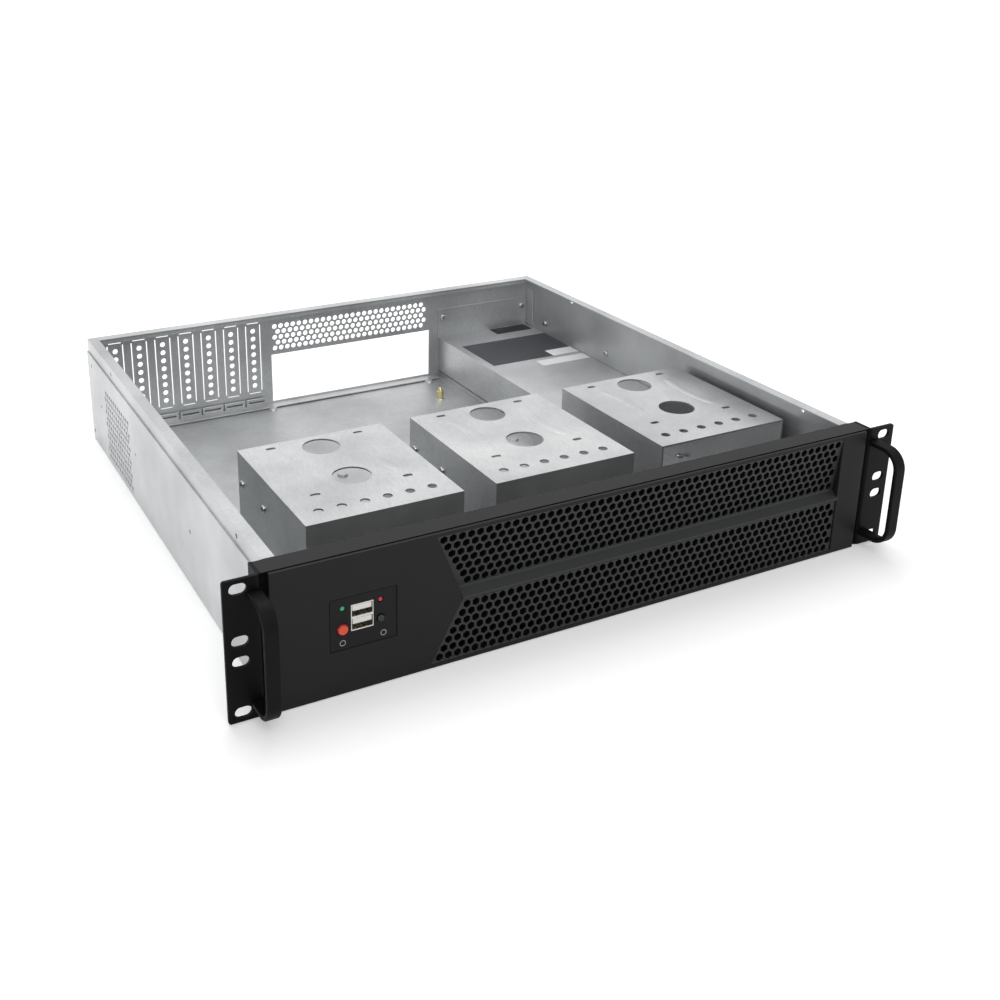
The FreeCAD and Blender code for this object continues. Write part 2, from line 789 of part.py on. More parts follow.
def front_bezel():
    """Front plate with folded edges and a hexagonal mesh pressed in two tiers about a ridge."""
    body = new_body("front_bezel")
    face, recess = BEZEL_FACE, BEZEL_FACE + S.lower_recess
    front = [
        (face, S.mesh_top), (face + S.mesh_depth, S.mesh_ridge + S.shelf_rise),
        (face - S.ridge_reach, S.mesh_ridge), (recess, S.mesh_ridge - S.shelf_rise / 2),
        (recess, S.mesh_bottom + S.lower_step), (face, S.mesh_bottom),
    ]
    back = [(y + S.sheet, z) for y, z in reversed(front)]
    pad(body, "mesh_sheet", "YZ", S.mesh_corner, S.mesh_right - S.mesh_corner, loops=[front + back])
    left = S.mesh_corner - S.sheet
    upper = [(left, S.mesh_top + S.sheet), (UPPER_CORNER, S.mesh_top + S.sheet), (UPPER_CORNER, S.mesh_top),
             (S.mesh_tip, S.mesh_ridge), (S.mesh_corner, S.mesh_bottom), (left, S.mesh_bottom)]
    deep = S.mesh_depth + S.sheet + S.ridge_reach
    pocket(body, "mesh_end", "XZ", face - S.ridge_reach, deep, loops=[upper])
    for number, (start, height, count) in enumerate(mesh_rows(), 1):
        hole = pocket(body, "mesh_row_%d" % number, "XZ", face - S.ridge_reach, deep,
                      loops=[hexagon((start, height), S.mesh_hex)])
        repeat(body, hole, count, S.mesh_pitch)
    half = S.bezel_half
    window = [(UPPER_CORNER, S.mesh_top), (S.mesh_right, S.mesh_top), (S.mesh_right, S.mesh_bottom),
              (S.mesh_corner, S.mesh_bottom), (S.mesh_tip, S.mesh_ridge)]
    control = rectangle((S.panel_left, S.panel_right), (S.panel_low, S.panel_high))
    outer = rectangle((-half, half), (0, S.bezel_height))
    pad(body, "bezel_plate", "XZ", face, S.sheet, loops=[outer, window, control])
    inner = rectangle((-half + S.sheet, half - S.sheet), (S.sheet, S.bezel_height - S.sheet))
    pad(body, "bezel_folds", "XZ", 0, FRAME_FACE, loops=[outer, inner])
    right_rim = rectangle((S.mesh_right - S.sheet, S.mesh_right), (S.mesh_bottom, S.mesh_top))
    slim = S.sheet
    left_rim = [(UPPER_CORNER, S.mesh_top), (UPPER_CORNER + slim, S.mesh_top),
                (S.mesh_tip + slim, S.mesh_ridge), (S.mesh_corner + slim, S.mesh_bottom),
                (S.mesh_corner, S.mesh_bottom), (S.mesh_tip, S.mesh_ridge)]
    pad(body, "mesh_rims", "XZ", face, S.mesh_depth, loops=[right_rim, left_rim])


def rack_ear(side, label):
    """Angle bracket with the rack's slots; side is -1 on the left."""
    body = new_body(label)
    inner, outer = S.frame_half * side, S.panel_half * side
    thick = S.ear_sheet * side
    section = [(inner, 0), (outer, 0), (outer, S.ear_sheet), (inner + thick, S.ear_sheet),
               (inner + thick, S.ear_leg), (inner, S.ear_leg)]
    pad(body, label + "_angle", "XY", 0, S.ear_height, loops=[section])
    soften(body, label + "_bend", S.ear_bend,
           lambda middle, way: near(middle.x, inner) and near(middle.y, 0) and abs(way.z) > 0.9)
    middle = S.ear_height / 2
    heights = [middle + S.slot_span / 2 * turn for turn in (-1, 1)]
    heights += [middle + S.slot_pair / 2 * turn for turn in (-1, 1)]
    slots = [((S.slot_centre * side, height), S.slot_length, S.slot_width) for height in heights]
    pocket(body, label + "_slots", "XZ", 0, S.ear_sheet, slots=slots)
    fit = S.touch_gap
    tenons = [rectangle((HANDLE_X * side - S.tenon_width / 2 - fit, HANDLE_X * side + S.tenon_width / 2 + fit),
                        (height - S.tenon_thick / 2 - fit, height + S.tenon_thick / 2 + fit))
              for height in tenon_heights()]
    pocket(body, label + "_tenon_holes", "XZ", 0, S.ear_sheet, loops=tenons)
    low = inner if side > 0 else inner + thick
    pocket(body, label + "_screw_holes", "YZ", low, S.ear_sheet,
           loops=[screw_hole((S.ear_screw_y, z)) for z in EAR_SCREWS])


def tenon_heights():
    return [HANDLE_LOW + S.handle_bar / 2, HANDLE_LOW + S.handle_height - S.handle_bar / 2]


def handle(side, label):
    """Loop bent from flat bar, with a tenon through the ear at each end."""
    body = new_body(label)
    reach, bar = -S.handle_reach, S.handle_bar
    low, high = HANDLE_LOW, HANDLE_LOW + S.handle_height
    loop = [(0, low), (reach, low), (reach, high), (0, high), (0, high - bar), (reach + bar, high - bar),
            (reach + bar, low + bar), (0, low + bar)]
    left = HANDLE_X * side - S.handle_width / 2
    pad(body, label + "_bar", "YZ", left, S.handle_width, loops=[loop])

    def outside(middle, way):
        return abs(way.x) > 0.9 and near(middle.y, reach)

    def inside(middle, way):
        return abs(way.x) > 0.9 and near(middle.y, reach + bar)

    soften(body, label + "_outer_bends", S.handle_bend, outside)
    soften(body, label + "_inner_bends", S.handle_bend - bar, inside)
    tenons = [rectangle((HANDLE_X * side - S.tenon_width / 2, HANDLE_X * side + S.tenon_width / 2),
                        (height - S.tenon_thick / 2, height + S.tenon_thick / 2)) for height in tenon_heights()]
    pad(body, label + "_tenons", "XZ", 0, S.ear_sheet, loops=tenons)


def button_guides():
    """Centre and radius of the two push buttons."""
    return [((S.power_x, S.power_z), S.power_radius), ((S.reset_x, S.reset_z), S.reset_radius)]


def usb_box(grow=0):
    return rectangle((S.usb_x - S.usb_width / 2 - grow, S.usb_x + S.usb_width / 2 + grow),
                     (S.usb_z - S.usb_tall / 2 - grow, S.usb_z + S.usb_tall / 2 + grow))


def control_plate():
    """Small moulded panel in the bezel's window, with posts for the board behind it."""
    body = new_body("control_plate")
    gap = S.touch_gap
    plate = rectangle((S.panel_left + gap, S.panel_right - gap), (S.panel_low + gap, S.panel_high - gap))
    pad(body, "panel_plate", "XZ", PANEL_FACE, S.panel_thick, loops=[plate])
    pad(body, "panel_posts", "XZ", FRAME_FACE, BOARD_FACE - FRAME_FACE,
        loops=[small_hole(spot, S.post_radius) for spot in panel_posts()])
    pocket(body, "usb_window", "XZ", PANEL_FACE, S.panel_thick, loops=[usb_box(S.touch_gap)])
    lamps = [small_hole((x, S.led_z), S.led_radius + gap, HEAD_SIDES) for x in (S.power_x, S.reset_x)]
    pocket(body, "panel_holes", "XZ", PANEL_FACE, S.panel_thick, loops=lamps,
           circles=[(spot, radius + S.button_fit) for spot, radius in button_guides()])


def panel_posts():
    inset = S.panel_seat + S.post_radius + S.touch_gap
    return [(x, z) for x in (S.panel_left + inset, S.panel_right - inset)
            for z in (S.panel_low + inset, S.panel_high - inset)]


def control_board():
    """Circuit board that carries the sockets, the switches and the two lamps."""
    body = new_body("control_board")
    edge = S.panel_seat + S.touch_gap
    outline = rectangle((S.panel_left + edge, S.panel_right - edge), (S.panel_low + edge, S.panel_high - edge))
    pad(body, "board_plate", "XZ", BOARD_FACE, S.board_thick, loops=[outline])
    pocket(body, "board_holes", "XZ", BOARD_FACE, S.board_thick,
           loops=[small_hole(spot, S.post_radius / 2) for spot in panel_posts()])


def usb_shell():
    """Metal shell around two stacked sockets, closed at the board."""
    body = new_body("usb_shell")
    pad(body, "usb_block", "XZ", PANEL_FACE, BOARD_FACE - PANEL_FACE, loops=[usb_box()])
    pocket(body, "usb_sockets", "XZ", PANEL_FACE, BOARD_FACE - PANEL_FACE - S.usb_wall * 2,
           loops=[usb_socket(turn) for turn in (-1, 1)])


def usb_socket(turn):
    """Outline of the upper or lower socket."""
    middle = S.usb_z + turn * S.usb_tall / 4
    wide = S.usb_width / 2 - S.usb_wall
    tall = S.usb_tall / 4 - S.usb_wall * 1.5
    return rectangle((S.usb_x - wide, S.usb_x + wide), (middle - tall, middle + tall))


def usb_tongues():
    """The plastic tongue with the contacts in each socket."""
    floor = BOARD_FACE - S.usb_wall * 2
    tongues = []
    for turn in (-1, 1):
        middle = S.usb_z + turn * S.usb_tall / 4
        tongues.append(box("tongue", (S.usb_x - S.tongue_width / 2, S.usb_x + S.tongue_width / 2),
                           (PANEL_FACE + S.usb_wall * 2, floor),
                           (middle, middle + S.tongue_thick)))
    node(together("usb_tongue_pair", tongues), "usb_tongues")


def control_switches():
    """Tactile switches on the board behind the buttons."""
    switches = []
    for (x, z), radius in button_guides():
        switches.append(box("switch", (x - S.switch_half, x + S.switch_half),
                            (BOARD_FACE - S.switch_deep, BOARD_FACE), (z - S.switch_half, z + S.switch_half)))
    node(together("switch_pair", switches), "control_switches")


def push_button(label, spot, radius):
    """A round cap with a collar that keeps it behind the panel and a stem to its switch."""
    cap = rod(label + "_cap", "Y", radius, (spot[0], PANEL_FACE - S.button_proud, spot[1]),
              S.button_proud + S.panel_thick + S.touch_gap)
    behind = (spot[0], FRAME_FACE + S.touch_gap, spot[1])
    collar = prism(label + "_collar", "Y", radius + S.sheet, behind, S.sheet, HEAD_SIDES)
    stem_end = BOARD_FACE - S.switch_deep - S.button_travel - S.touch_gap / 2
    stem = prism(label + "_stem", "Y", S.stem_radius, behind, stem_end - FRAME_FACE - S.touch_gap)
    node(fuse(label + "_whole", [cap, collar, stem]), label)


def lamp(label, x):
    """Round-nosed lamp with its lead spacer down to the board."""
    start = PANEL_FACE - S.panel_recess
    barrel = prism(label + "_barrel", "Y", S.led_radius, (x, start, S.led_z), BOARD_FACE - start, HEAD_SIDES)
    seat = (x, FRAME_FACE + S.touch_gap, S.led_z)
    flange = prism(label + "_flange", "Y", S.led_radius + S.panel_recess, seat, S.sheet, HEAD_SIDES)
    node(fuse(label + "_whole", [barrel, flange]), label)


def drive_cage(number):
    """Inverted channel of sheet steel that holds drives, with feet turned in on the floor."""
    label = "drive_cage_%d" % (number + 1)
    body = new_body(label)
    left = cage_left(number)
    right = left + S.cage_width
    high = FLOOR + S.cage_height
    wall = S.sheet
    section = [
        (left, FLOOR), (left, high), (right, high), (right, FLOOR), (right - S.cage_foot, FLOOR),
        (right - S.cage_foot, FLOOR + wall), (right - wall, FLOOR + wall), (right - wall, high - wall),
        (left + wall, high - wall), (left + wall, FLOOR + wall), (left + S.cage_foot, FLOOR + wall),
        (left + S.cage_foot, FLOOR),
    ]
    pad(body, label + "_fold", "XZ", S.cage_front, S.cage_length, loops=[section])
    if number < CLOSED_CAGES:
        front = rectangle((left + wall, right - wall), (high - S.cage_face, high - wall))
        pad(body, label + "_front", "XZ", S.cage_front, wall, loops=[front])
    middle = left + S.cage_width / 2
    pad(body, label + "_ribs", "XY", high, S.rib_rise, bands=cage_ribs(middle))
    openings = [small_hole((middle, S.cage_front + along), S.cage_hole, CAGE_HOLE_SIDES)
                for along in (S.cage_hole_front, S.cage_hole_rear)]
    openings += [small_slot((middle + S.oval_spread * side, S.cage_front + along), S.oval_length, S.oval_width)
                 for side in (-1, 1) for along in (S.oval_front, S.oval_rear)]
    pocket(body, label + "_openings", "XY", high - wall, wall, loops=openings)
    first = (middle - S.row_pitch * ((ROW_HOLES - 1) / 2), S.cage_front + S.row_place)
    hole = pocket(body, label + "_row", "XY", high - wall, wall,
                  loops=[small_hole(first, S.row_hole, HEAD_SIDES)])
    repeat(body, hole, ROW_HOLES, S.row_pitch)
    pocket(body, label + "_drive_holes", "YZ", left, wall, loops=[screw_hole(spot) for spot in drive_screws()])
    pocket(body, label + "_foot_holes", "XY", FLOOR, wall,
           loops=[screw_hole(spot) for spot in cage_feet(number)])


def cage_ribs(middle):
    """Two stiffening ribs that bow towards the cage's middle line, between the ovals."""
    low = S.cage_front + S.oval_front + S.oval_width
    high = S.cage_front + S.oval_rear - S.oval_width
    half = (high.value - low.value) / 2
    sag = S.rib_radius.value - math.sqrt(S.rib_radius.value ** 2 - half ** 2)
    offset = S.rib_radius + (S.oval_spread - sag)
    y = (low + high) / 2
    return [((middle - offset, y), S.rib_radius, S.rib_width, low, high),
            ((middle + offset, y), -S.rib_radius, S.rib_width, low, high)]


def drive_screws():
    """Places of the drive screws on a cage's left wall, as Y and Z."""
    start = S.cage_front + S.drive_screw_front
    return [(start, S.drive_screw_z), (start + S.drive_screw_span, S.drive_screw_z)]


def screw(name, axis, seat, way, under):
    """Pan-head screw from its head's seat; way is the shank's direction along the axis."""
    def along(distance):
        return [at + distance if letter == axis else at for letter, at in zip("XYZ", seat)]

    shank_start = seat if way > 0 else along(-length(under))
    head_start = along(-S.head_rise) if way > 0 else seat
    shank = prism(name + "_shank", axis, S.screw_radius, shank_start, under)
    head = prism(name + "_head", axis, S.head_radius, head_start, S.head_rise, HEAD_SIDES)
    return fuse(name, [shank, head])


def screws():
    """The fixings, one node for each like group."""
    pairs = [screw("cage_side_screw", "X", (cage_left(number), y, z), 1, S.sheet * 3)
             for number in range(CAGES) for y, z in drive_screws()]
    node(together("cage_side_screw_set", pairs), "cage_side_screws")
    feet = [screw("cage_foot_screw", "Z", (x, y, FLOOR * 2), -1, FLOOR * 2)
            for number in range(CAGES) for x, y in cage_feet(number)]
    node(together("cage_foot_screw_set", feet), "cage_foot_screws")
    ears = [screw("ear_screw", "X", (side * (S.frame_half + S.ear_sheet), S.ear_screw_y, z), -side,
                  S.ear_sheet + S.sheet) for side in (-1, 1) for z in EAR_SCREWS]
    node(together("ear_screw_set", ears), "ear_screws")
    frame = [screw("frame_screw", "Y", (side * FLANGE_SCREW_X, FRAME_REAR + S.sheet, z), -1, S.sheet * 2)
             for side in (-1, 1) for z in FLANGE_SCREWS]
    node(together("frame_screw_set", frame), "frame_screws")
    plate = [screw("psu_plate_screw", "Y", (x, PSU_REAR, S.plate_screw_z), 1, S.sheet * 2)
             for x in plate_screws()]
    node(together("psu_plate_screw_set", plate), "psu_plate_screws")
    supply = [screw("psu_screw", "Y", (x, WALL_INSIDE, z), -1, S.sheet * 3) for x, z in psu_screws()]
    node(together("psu_screw_set", supply), "psu_screws")
    walls = [screw("wall_screw", "X", (BAND, y, z), 1, S.sheet) for y, z in RIGHT_WALL_SCREWS]
    node(together("wall_screw_set", walls), "wall_screws")


def plate_screws():
    return [PLATE_LEFT + S.plate_screw_inset, PLATE_RIGHT - S.plate_screw_inset]


def psu_screws():
    """Four places around the inlet on the supply's rear face."""
    left, right = PSU_LEFT + S.psu_screw_inset, FAN_LEFT - S.psu_screw_inset + S.sheet
    low, high = FLOOR + S.psu_screw_rise, PSU_TOP - S.psu_screw_rise
    return [(left, low), (left, high), (right, low), (right, high)]


def psu_mount_plate():
    """Plate between the supply and the rear wall that closes the wall's taller opening."""
    body = new_body("psu_mount_plate")
    pad(body, "mount_plate", "XZ", PSU_REAR, S.sheet,
        loops=[rectangle((PLATE_LEFT, PLATE_RIGHT), (FLOOR, S.plate_high))])
    pocket(body, "mount_plate_inlet", "XZ", PSU_REAR, S.sheet, loops=[inlet_box(S.inlet_collar + S.touch_gap)])
    holes = [small_hole((FAN_X, FAN_Z), S.fan_bore + S.sheet, FAN_SIDES)]
    holes += [screw_hole(spot) for spot in psu_screws()]
    holes += [screw_hole((x, S.plate_screw_z)) for x in plate_screws()]
    pocket(body, "mount_plate_holes", "XZ", PSU_REAR, S.sheet, loops=holes)


def inlet_box(grow=0):
    wide, tall = S.inlet_width / 2 + grow, S.inlet_height / 2 + grow
    return rectangle((S.inlet_x - wide, S.inlet_x + wide), (INLET_Z - tall, INLET_Z + tall))


def psu_case():
    """Tray of the supply with low sides and full front and rear walls."""
    body = new_body("psu_case")
    thin = S.psu_sheet
    seam = FLOOR + S.psu_seam
    section = [(PSU_LEFT, FLOOR), (PSU_RIGHT, FLOOR), (PSU_RIGHT, seam), (PSU_RIGHT - thin, seam),
               (PSU_RIGHT - thin, FLOOR + thin), (PSU_LEFT + thin, FLOOR + thin), (PSU_LEFT + thin, seam),
               (PSU_LEFT, seam)]
    pad(body, "psu_tray", "XZ", PSU_FRONT, S.psu_length, loops=[section])
    end = rectangle((PSU_LEFT + thin, PSU_RIGHT - thin), (FLOOR + thin, PSU_TOP - thin))
    pad(body, "psu_rear_wall", "XZ", PSU_REAR - thin, thin, loops=[end])
    pad(body, "psu_front_wall", "XZ", PSU_FRONT, thin, loops=[end])
    pocket(body, "psu_inlet_hole", "XZ", PSU_REAR - thin, thin, loops=[inlet_box(S.touch_gap)])
    pocket(body, "psu_screw_holes", "XZ", PSU_REAR - thin, thin,
           loops=[screw_hole(spot) for spot in psu_screws()])
    for row, count in enumerate(GRILLE_ROWS):
        rise = (row - len(GRILLE_ROWS) // 2) * ROW_SHARE
        first = (FAN_X - S.grille_pitch * ((count - 1) / 2), FAN_Z + S.grille_pitch * rise)
        hole = pocket(body, "psu_grille_%d" % (row + 1), "XZ", PSU_REAR - thin, thin,
                      loops=[hexagon(first, S.grille_hex)])
        repeat(body, hole, count, S.grille_pitch)
    pocket(body, "psu_wire_hole", "XZ", PSU_FRONT, thin,
           loops=[small_hole((WIRE_X, INLET_Z), S.wire_hole, HEAD_SIDES * 2)])


def psu_cover():
    """Lid of the supply: top and sides down to the seam, cut out over the fan."""
    body = new_body("psu_cover")
    thin = S.psu_sheet
    seam = FLOOR + S.psu_seam
    section = [(PSU_LEFT, seam), (PSU_LEFT, PSU_TOP), (PSU_RIGHT, PSU_TOP), (PSU_RIGHT, seam),
               (PSU_RIGHT - thin, seam), (PSU_RIGHT - thin, PSU_TOP - thin), (PSU_LEFT + thin, PSU_TOP - thin),
               (PSU_LEFT + thin, seam)]
    pad(body, "psu_lid", "XZ", PSU_FRONT, S.psu_length, loops=[section])
    gap = S.touch_gap
    room = rectangle((FAN_LEFT - gap, FAN_LEFT + S.fan_size + gap), (FAN_REAR - S.fan_depth - gap, FAN_REAR))
    pocket(body, "fan_cut_out", "XY", PSU_TOP - thin, thin, loops=[room])


def psu_fan_frame():
    """Square fan housing with a round duct and four struts that carry the motor's seat."""
    body = new_body("psu_fan_frame")
    front = FAN_REAR - S.fan_depth
    square = rectangle((FAN_LEFT, FAN_LEFT + S.fan_size), (FAN_LOW, FAN_LOW + S.fan_size))
    pad(body, "fan_square", "XZ", front, S.fan_depth, loops=[square])
    pocket(body, "fan_duct", "XZ", front, S.fan_depth,
           loops=[small_hole((FAN_X, FAN_Z), S.fan_bore, FAN_SIDES)])
    strut = S.sheet
    reach = S.fan_bore + strut
    cross = [rectangle((FAN_X - reach, FAN_X + reach), (FAN_Z - strut, FAN_Z + strut)),
             rectangle((FAN_X - strut, FAN_X + strut), (FAN_Z - reach, FAN_Z + reach))]
    for number, arm in enumerate(cross, 1):
        pad(body, "fan_strut_%d" % number, "XZ", front, strut * 2, loops=[arm])
    pad(body, "fan_seat", "XZ", front, strut * 2, circles=[((FAN_X, FAN_Z), S.fan_hub)])
    pocket(body, "fan_bearing", "XZ", front, strut * 2, circles=[((FAN_X, FAN_Z), S.fan_shaft + S.shaft_fit)])


def psu_fan_rotor():
    """Fan hub with a shaft in the housing's bearing and pitched blades."""
    front = FAN_REAR - S.fan_depth
    seat = front + S.sheet * 2
    hub_start = seat + S.touch_gap
    hub_deep = FAN_REAR - S.touch_gap * 2 - hub_start
    centre = (FAN_X, hub_start, FAN_Z)
    hub = prism("fan_hub", "Y", S.fan_hub, centre, hub_deep, FAN_SIDES)
    shaft = rod("fan_shaft", "Y", S.fan_shaft, (FAN_X, front + S.touch_gap, FAN_Z),
                S.sheet * 2 + S.touch_gap * 2)
    blades = []
    chord = hub_deep * 1.1
    for number in range(BLADES):
        angle = 360.0 * number / BLADES
        blade = DOC.addObject("Part::Box", "fan_blade")
        bind(blade, Length=S.fan_blade, Width=chord, Height=S.psu_sheet)
        turn = FreeCAD.Rotation(FreeCAD.Vector(0, 1, 0), angle)
        pitch = FreeCAD.Rotation(FreeCAD.Vector(1, 0, 0), BLADE_PITCH)
        blade.Placement.Rotation = turn.multiply(pitch)
        start = turn.multVec(pitch.multVec(FreeCAD.Vector(0, -0.5, 0)))
        place(blade, FAN_X + chord * start.x, hub_start + hub_deep / 2 + chord * start.y,
              FAN_Z + chord * start.z)
        blades.append(blade)
    sweep = prism("fan_sweep", "Y", S.fan_blade, centre, hub_deep, FAN_SIDES)
    trimmed = DOC.addObject("Part::Common", "fan_blades")
    trimmed.Base = fuse("fan_blade_set", blades)
    trimmed.Tool = sweep
    node(fuse("fan_rotor", [hub, shaft, trimmed]), "psu_fan_rotor")


def psu_inlet():
    """Three-pin mains inlet in the supply's rear wall."""
    body = new_body("psu_inlet")
    collar_face = PSU_REAR + S.inlet_collar
    pad(body, "inlet_body", "XZ", PSU_REAR - S.inlet_depth, S.inlet_depth, loops=[inlet_box()])
    pad(body, "inlet_collar", "XZ", PSU_REAR, S.inlet_collar, loops=[inlet_box(S.inlet_collar)])
    socket_floor = PSU_REAR - S.inlet_socket
    wall = S.inlet_collar
    pocket(body, "inlet_socket", "XZ", socket_floor, collar_face - socket_floor, loops=[inlet_box(-wall)])
    pins = []
    spots = [(S.inlet_x - S.pin_spread, INLET_Z), (S.inlet_x + S.pin_spread, INLET_Z),
             (S.inlet_x, INLET_Z + S.pin_spread / 2)]
    for x, z in spots:
        pins.append(rectangle((x - S.pin_thick / 2, x + S.pin_thick / 2), (z - S.pin_thick, z + S.pin_thick)))
    pad(body, "inlet_pins", "XZ", socket_floor, S.inlet_socket - S.pin_thick, loops=pins)


def psu_board():
    """Circuit board inside the supply, on the tray's sides."""
    low = FLOOR + S.psu_seam
    gap = S.psu_sheet + S.touch_gap
    board = box("psu_board_plate", (PSU_LEFT + gap, PSU_RIGHT - gap),
                (PSU_FRONT + gap, FAN_REAR - S.inlet_depth - S.psu_sheet), (low - S.board_thick, low))
    legs = []
    inset = S.psu_post_inset
    for x in (PSU_LEFT + inset, PSU_RIGHT - inset):
        for y in (PSU_FRONT + inset, FAN_REAR - S.inlet_depth - inset):
            legs.append(prism("psu_board_post", "Z", S.screw_radius, (x, y, FLOOR + S.psu_sheet),
                              low - S.board_thick - FLOOR - S.psu_sheet))
    node(fuse("psu_board_whole", [board] + legs), "psu_board")


def psu_parts():
    """The larger components on the supply's board."""
    low = FLOOR + S.psu_seam
    left, front = PSU_LEFT + S.transformer_left, PSU_FRONT + S.transformer_front
    pieces = [box("transformer", (left, left + S.transformer_side), (front, front + S.transformer_side),
                  (low, low + S.transformer_high))]
    sink_y = (PSU_FRONT + S.sink_front, PSU_FRONT + S.sink_front + S.sink_length)
    for name, x in (("heat_sink_left", PSU_LEFT + S.sink_inset),
                    ("heat_sink_right", PSU_RIGHT - S.sink_inset * 2 - S.sink_thick)):
        pieces.append(box(name, (x, x + S.sink_thick), sink_y, (low, low + S.sink_high)))
    bulk = (PSU_LEFT + S.bulk_x, PSU_FRONT + S.bulk_y, low)
    pieces.append(prism("bulk_capacitor", "Z", S.bulk_radius, bulk, S.bulk_high, HEAD_SIDES * 2))
    for x in (PSU_LEFT + S.small_x, PSU_LEFT + S.small_x + S.small_span):
        spot = (x, PSU_FRONT + S.small_y, low)
        pieces.append(prism("output_capacitor", "Z", S.small_radius, spot, S.small_high, HEAD_SIDES))
    node(together("psu_part_set", pieces), "psu_parts")


def psu_labels():
    """The dark rating field and the white strip on the cover, both without print."""
    high = (PSU_TOP, PSU_TOP + S.label_thick)
    field = box("rating_field", (PSU_LEFT + S.label_inset, PSU_RIGHT - S.psu_sheet),
                (S.label_front, S.label_front + S.label_length), high)
    node(field, "psu_label")
    strip = box("white_strip", (S.strip_left, PSU_RIGHT - S.psu_sheet),
                (S.strip_front, S.strip_front + S.strip_width), high)
    node(strip, "psu_strip")


def standoffs():
    """Brass standoff that stands on the floor."""
    spot = (S.standoff_x, S.standoff_y)
    body = new_body("standoff")
    pad(body, "standoff_hex", "XY", FLOOR, S.standoff_rise, loops=[hexagon(spot, S.standoff_radius * 2)])
    pad(body, "standoff_stud", "XY", FLOOR + S.standoff_rise, S.standoff_rise / 2,
        loops=[small_hole(spot, S.screw_radius)])


def build():
    chassis_pan()
    rear_panel()
    front_frame()
    front_bezel()
    for side, name in ((-1, "left"), (1, "right")):
        rack_ear(side, "rack_ear_" + name)
        handle(side, "handle_" + name)
    control_plate()
    control_board()
    usb_shell()
    usb_tongues()
    control_switches()
    push_button("power_button", (S.power_x, S.power_z), S.power_radius)
    push_button("reset_button", (S.reset_x, S.reset_z), S.reset_radius)
    lamp("power_led", S.power_x)
    lamp("drive_led", S.reset_x)
    for number in range(CAGES):
        drive_cage(number)
    psu_case()
    psu_cover()
    psu_mount_plate()
    psu_fan_frame()
    psu_fan_rotor()
    psu_inlet()
    psu_board()
    psu_parts()
    psu_labels()
    standoffs()
    screws()
    DOC.recompute()


def check():
    """Stop if any object failed or any piece has no sound shape."""
    for thing in DOC.Objects:
        if "Invalid" in thing.State or "Error" in thing.State:
            raise ValueError(thing.Label + " is " + ", ".join(thing.State))
    for thing in NODES:
        if thing.Shape.isNull() or not thing.Shape.isValid():
            raise ValueError(thing.Label + " has no sound shape")


def write():
    os.makedirs("parts", exist_ok=True)
    for thing in NODES:
        thing.Shape.exportStep("parts/%s.step" % thing.Label)
        print(thing.Label, len(thing.Shape.Solids), round(thing.Shape.Volume))


build()
check()
write()
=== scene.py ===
import json
import math

import bmesh
import bpy
from mathutils import Matrix, Vector

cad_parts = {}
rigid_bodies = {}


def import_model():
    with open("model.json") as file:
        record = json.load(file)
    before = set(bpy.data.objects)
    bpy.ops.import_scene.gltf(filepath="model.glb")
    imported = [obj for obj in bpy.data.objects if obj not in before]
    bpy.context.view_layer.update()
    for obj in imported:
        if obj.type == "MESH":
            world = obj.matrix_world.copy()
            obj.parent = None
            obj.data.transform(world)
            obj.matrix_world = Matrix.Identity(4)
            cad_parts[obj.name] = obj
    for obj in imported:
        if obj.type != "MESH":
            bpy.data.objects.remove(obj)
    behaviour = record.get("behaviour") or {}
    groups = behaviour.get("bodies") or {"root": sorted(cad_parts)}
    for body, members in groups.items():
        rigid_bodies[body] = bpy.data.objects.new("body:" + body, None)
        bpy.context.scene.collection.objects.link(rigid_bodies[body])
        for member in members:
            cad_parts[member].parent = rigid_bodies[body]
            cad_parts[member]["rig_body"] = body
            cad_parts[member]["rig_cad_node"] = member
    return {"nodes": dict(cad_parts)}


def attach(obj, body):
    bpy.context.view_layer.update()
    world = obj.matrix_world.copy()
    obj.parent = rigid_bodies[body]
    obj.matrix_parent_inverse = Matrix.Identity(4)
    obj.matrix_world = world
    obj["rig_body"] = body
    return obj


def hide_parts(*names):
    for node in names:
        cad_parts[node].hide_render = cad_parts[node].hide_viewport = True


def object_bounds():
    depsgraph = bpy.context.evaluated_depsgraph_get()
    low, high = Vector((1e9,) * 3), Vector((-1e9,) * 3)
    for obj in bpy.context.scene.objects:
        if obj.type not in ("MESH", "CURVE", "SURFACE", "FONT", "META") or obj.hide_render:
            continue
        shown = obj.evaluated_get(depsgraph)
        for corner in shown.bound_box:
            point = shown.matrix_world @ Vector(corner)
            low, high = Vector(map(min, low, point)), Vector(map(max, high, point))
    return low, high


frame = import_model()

# A 2U rackmount server case with its lid off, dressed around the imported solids.
# Sizes below are in millimetres and are turned to metres where a mesh is made.

MM = 0.001
CAD_BOX = [list(corner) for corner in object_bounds()]

# A face or edge lies along an axis where that part of its unit direction is above this.
ALONG = 0.9
TURNS = {"X": (0, math.pi / 2, 0), "Y": (-math.pi / 2, 0, 0), "Z": (0, 0, 0)}


# ---------------------------------------------------------------- workshop

def clear():
    """Select nothing."""
    bpy.ops.object.select_all(action="DESELECT")


def take(piece):
    """Make the piece the only one selected and the active one."""
    clear()
    piece.select_set(True)
    bpy.context.view_layer.objects.active = piece
    return piece


def settle():
    """Put the active piece's place, turn and size into its mesh."""
    bpy.ops.object.transform_apply(location=True, rotation=True, scale=True)


def block(name, x, y, z):
    """A cuboid between pairs of coordinates, as a start."""
    clear()
    bpy.ops.mesh.primitive_cube_add(size=1)
    piece = bpy.context.object
    piece.name = name
    piece.scale = [(b - a) * MM for a, b in (x, y, z)]
    piece.location = [(a + b) / 2 * MM for a, b in (x, y, z)]
    settle()
    return piece


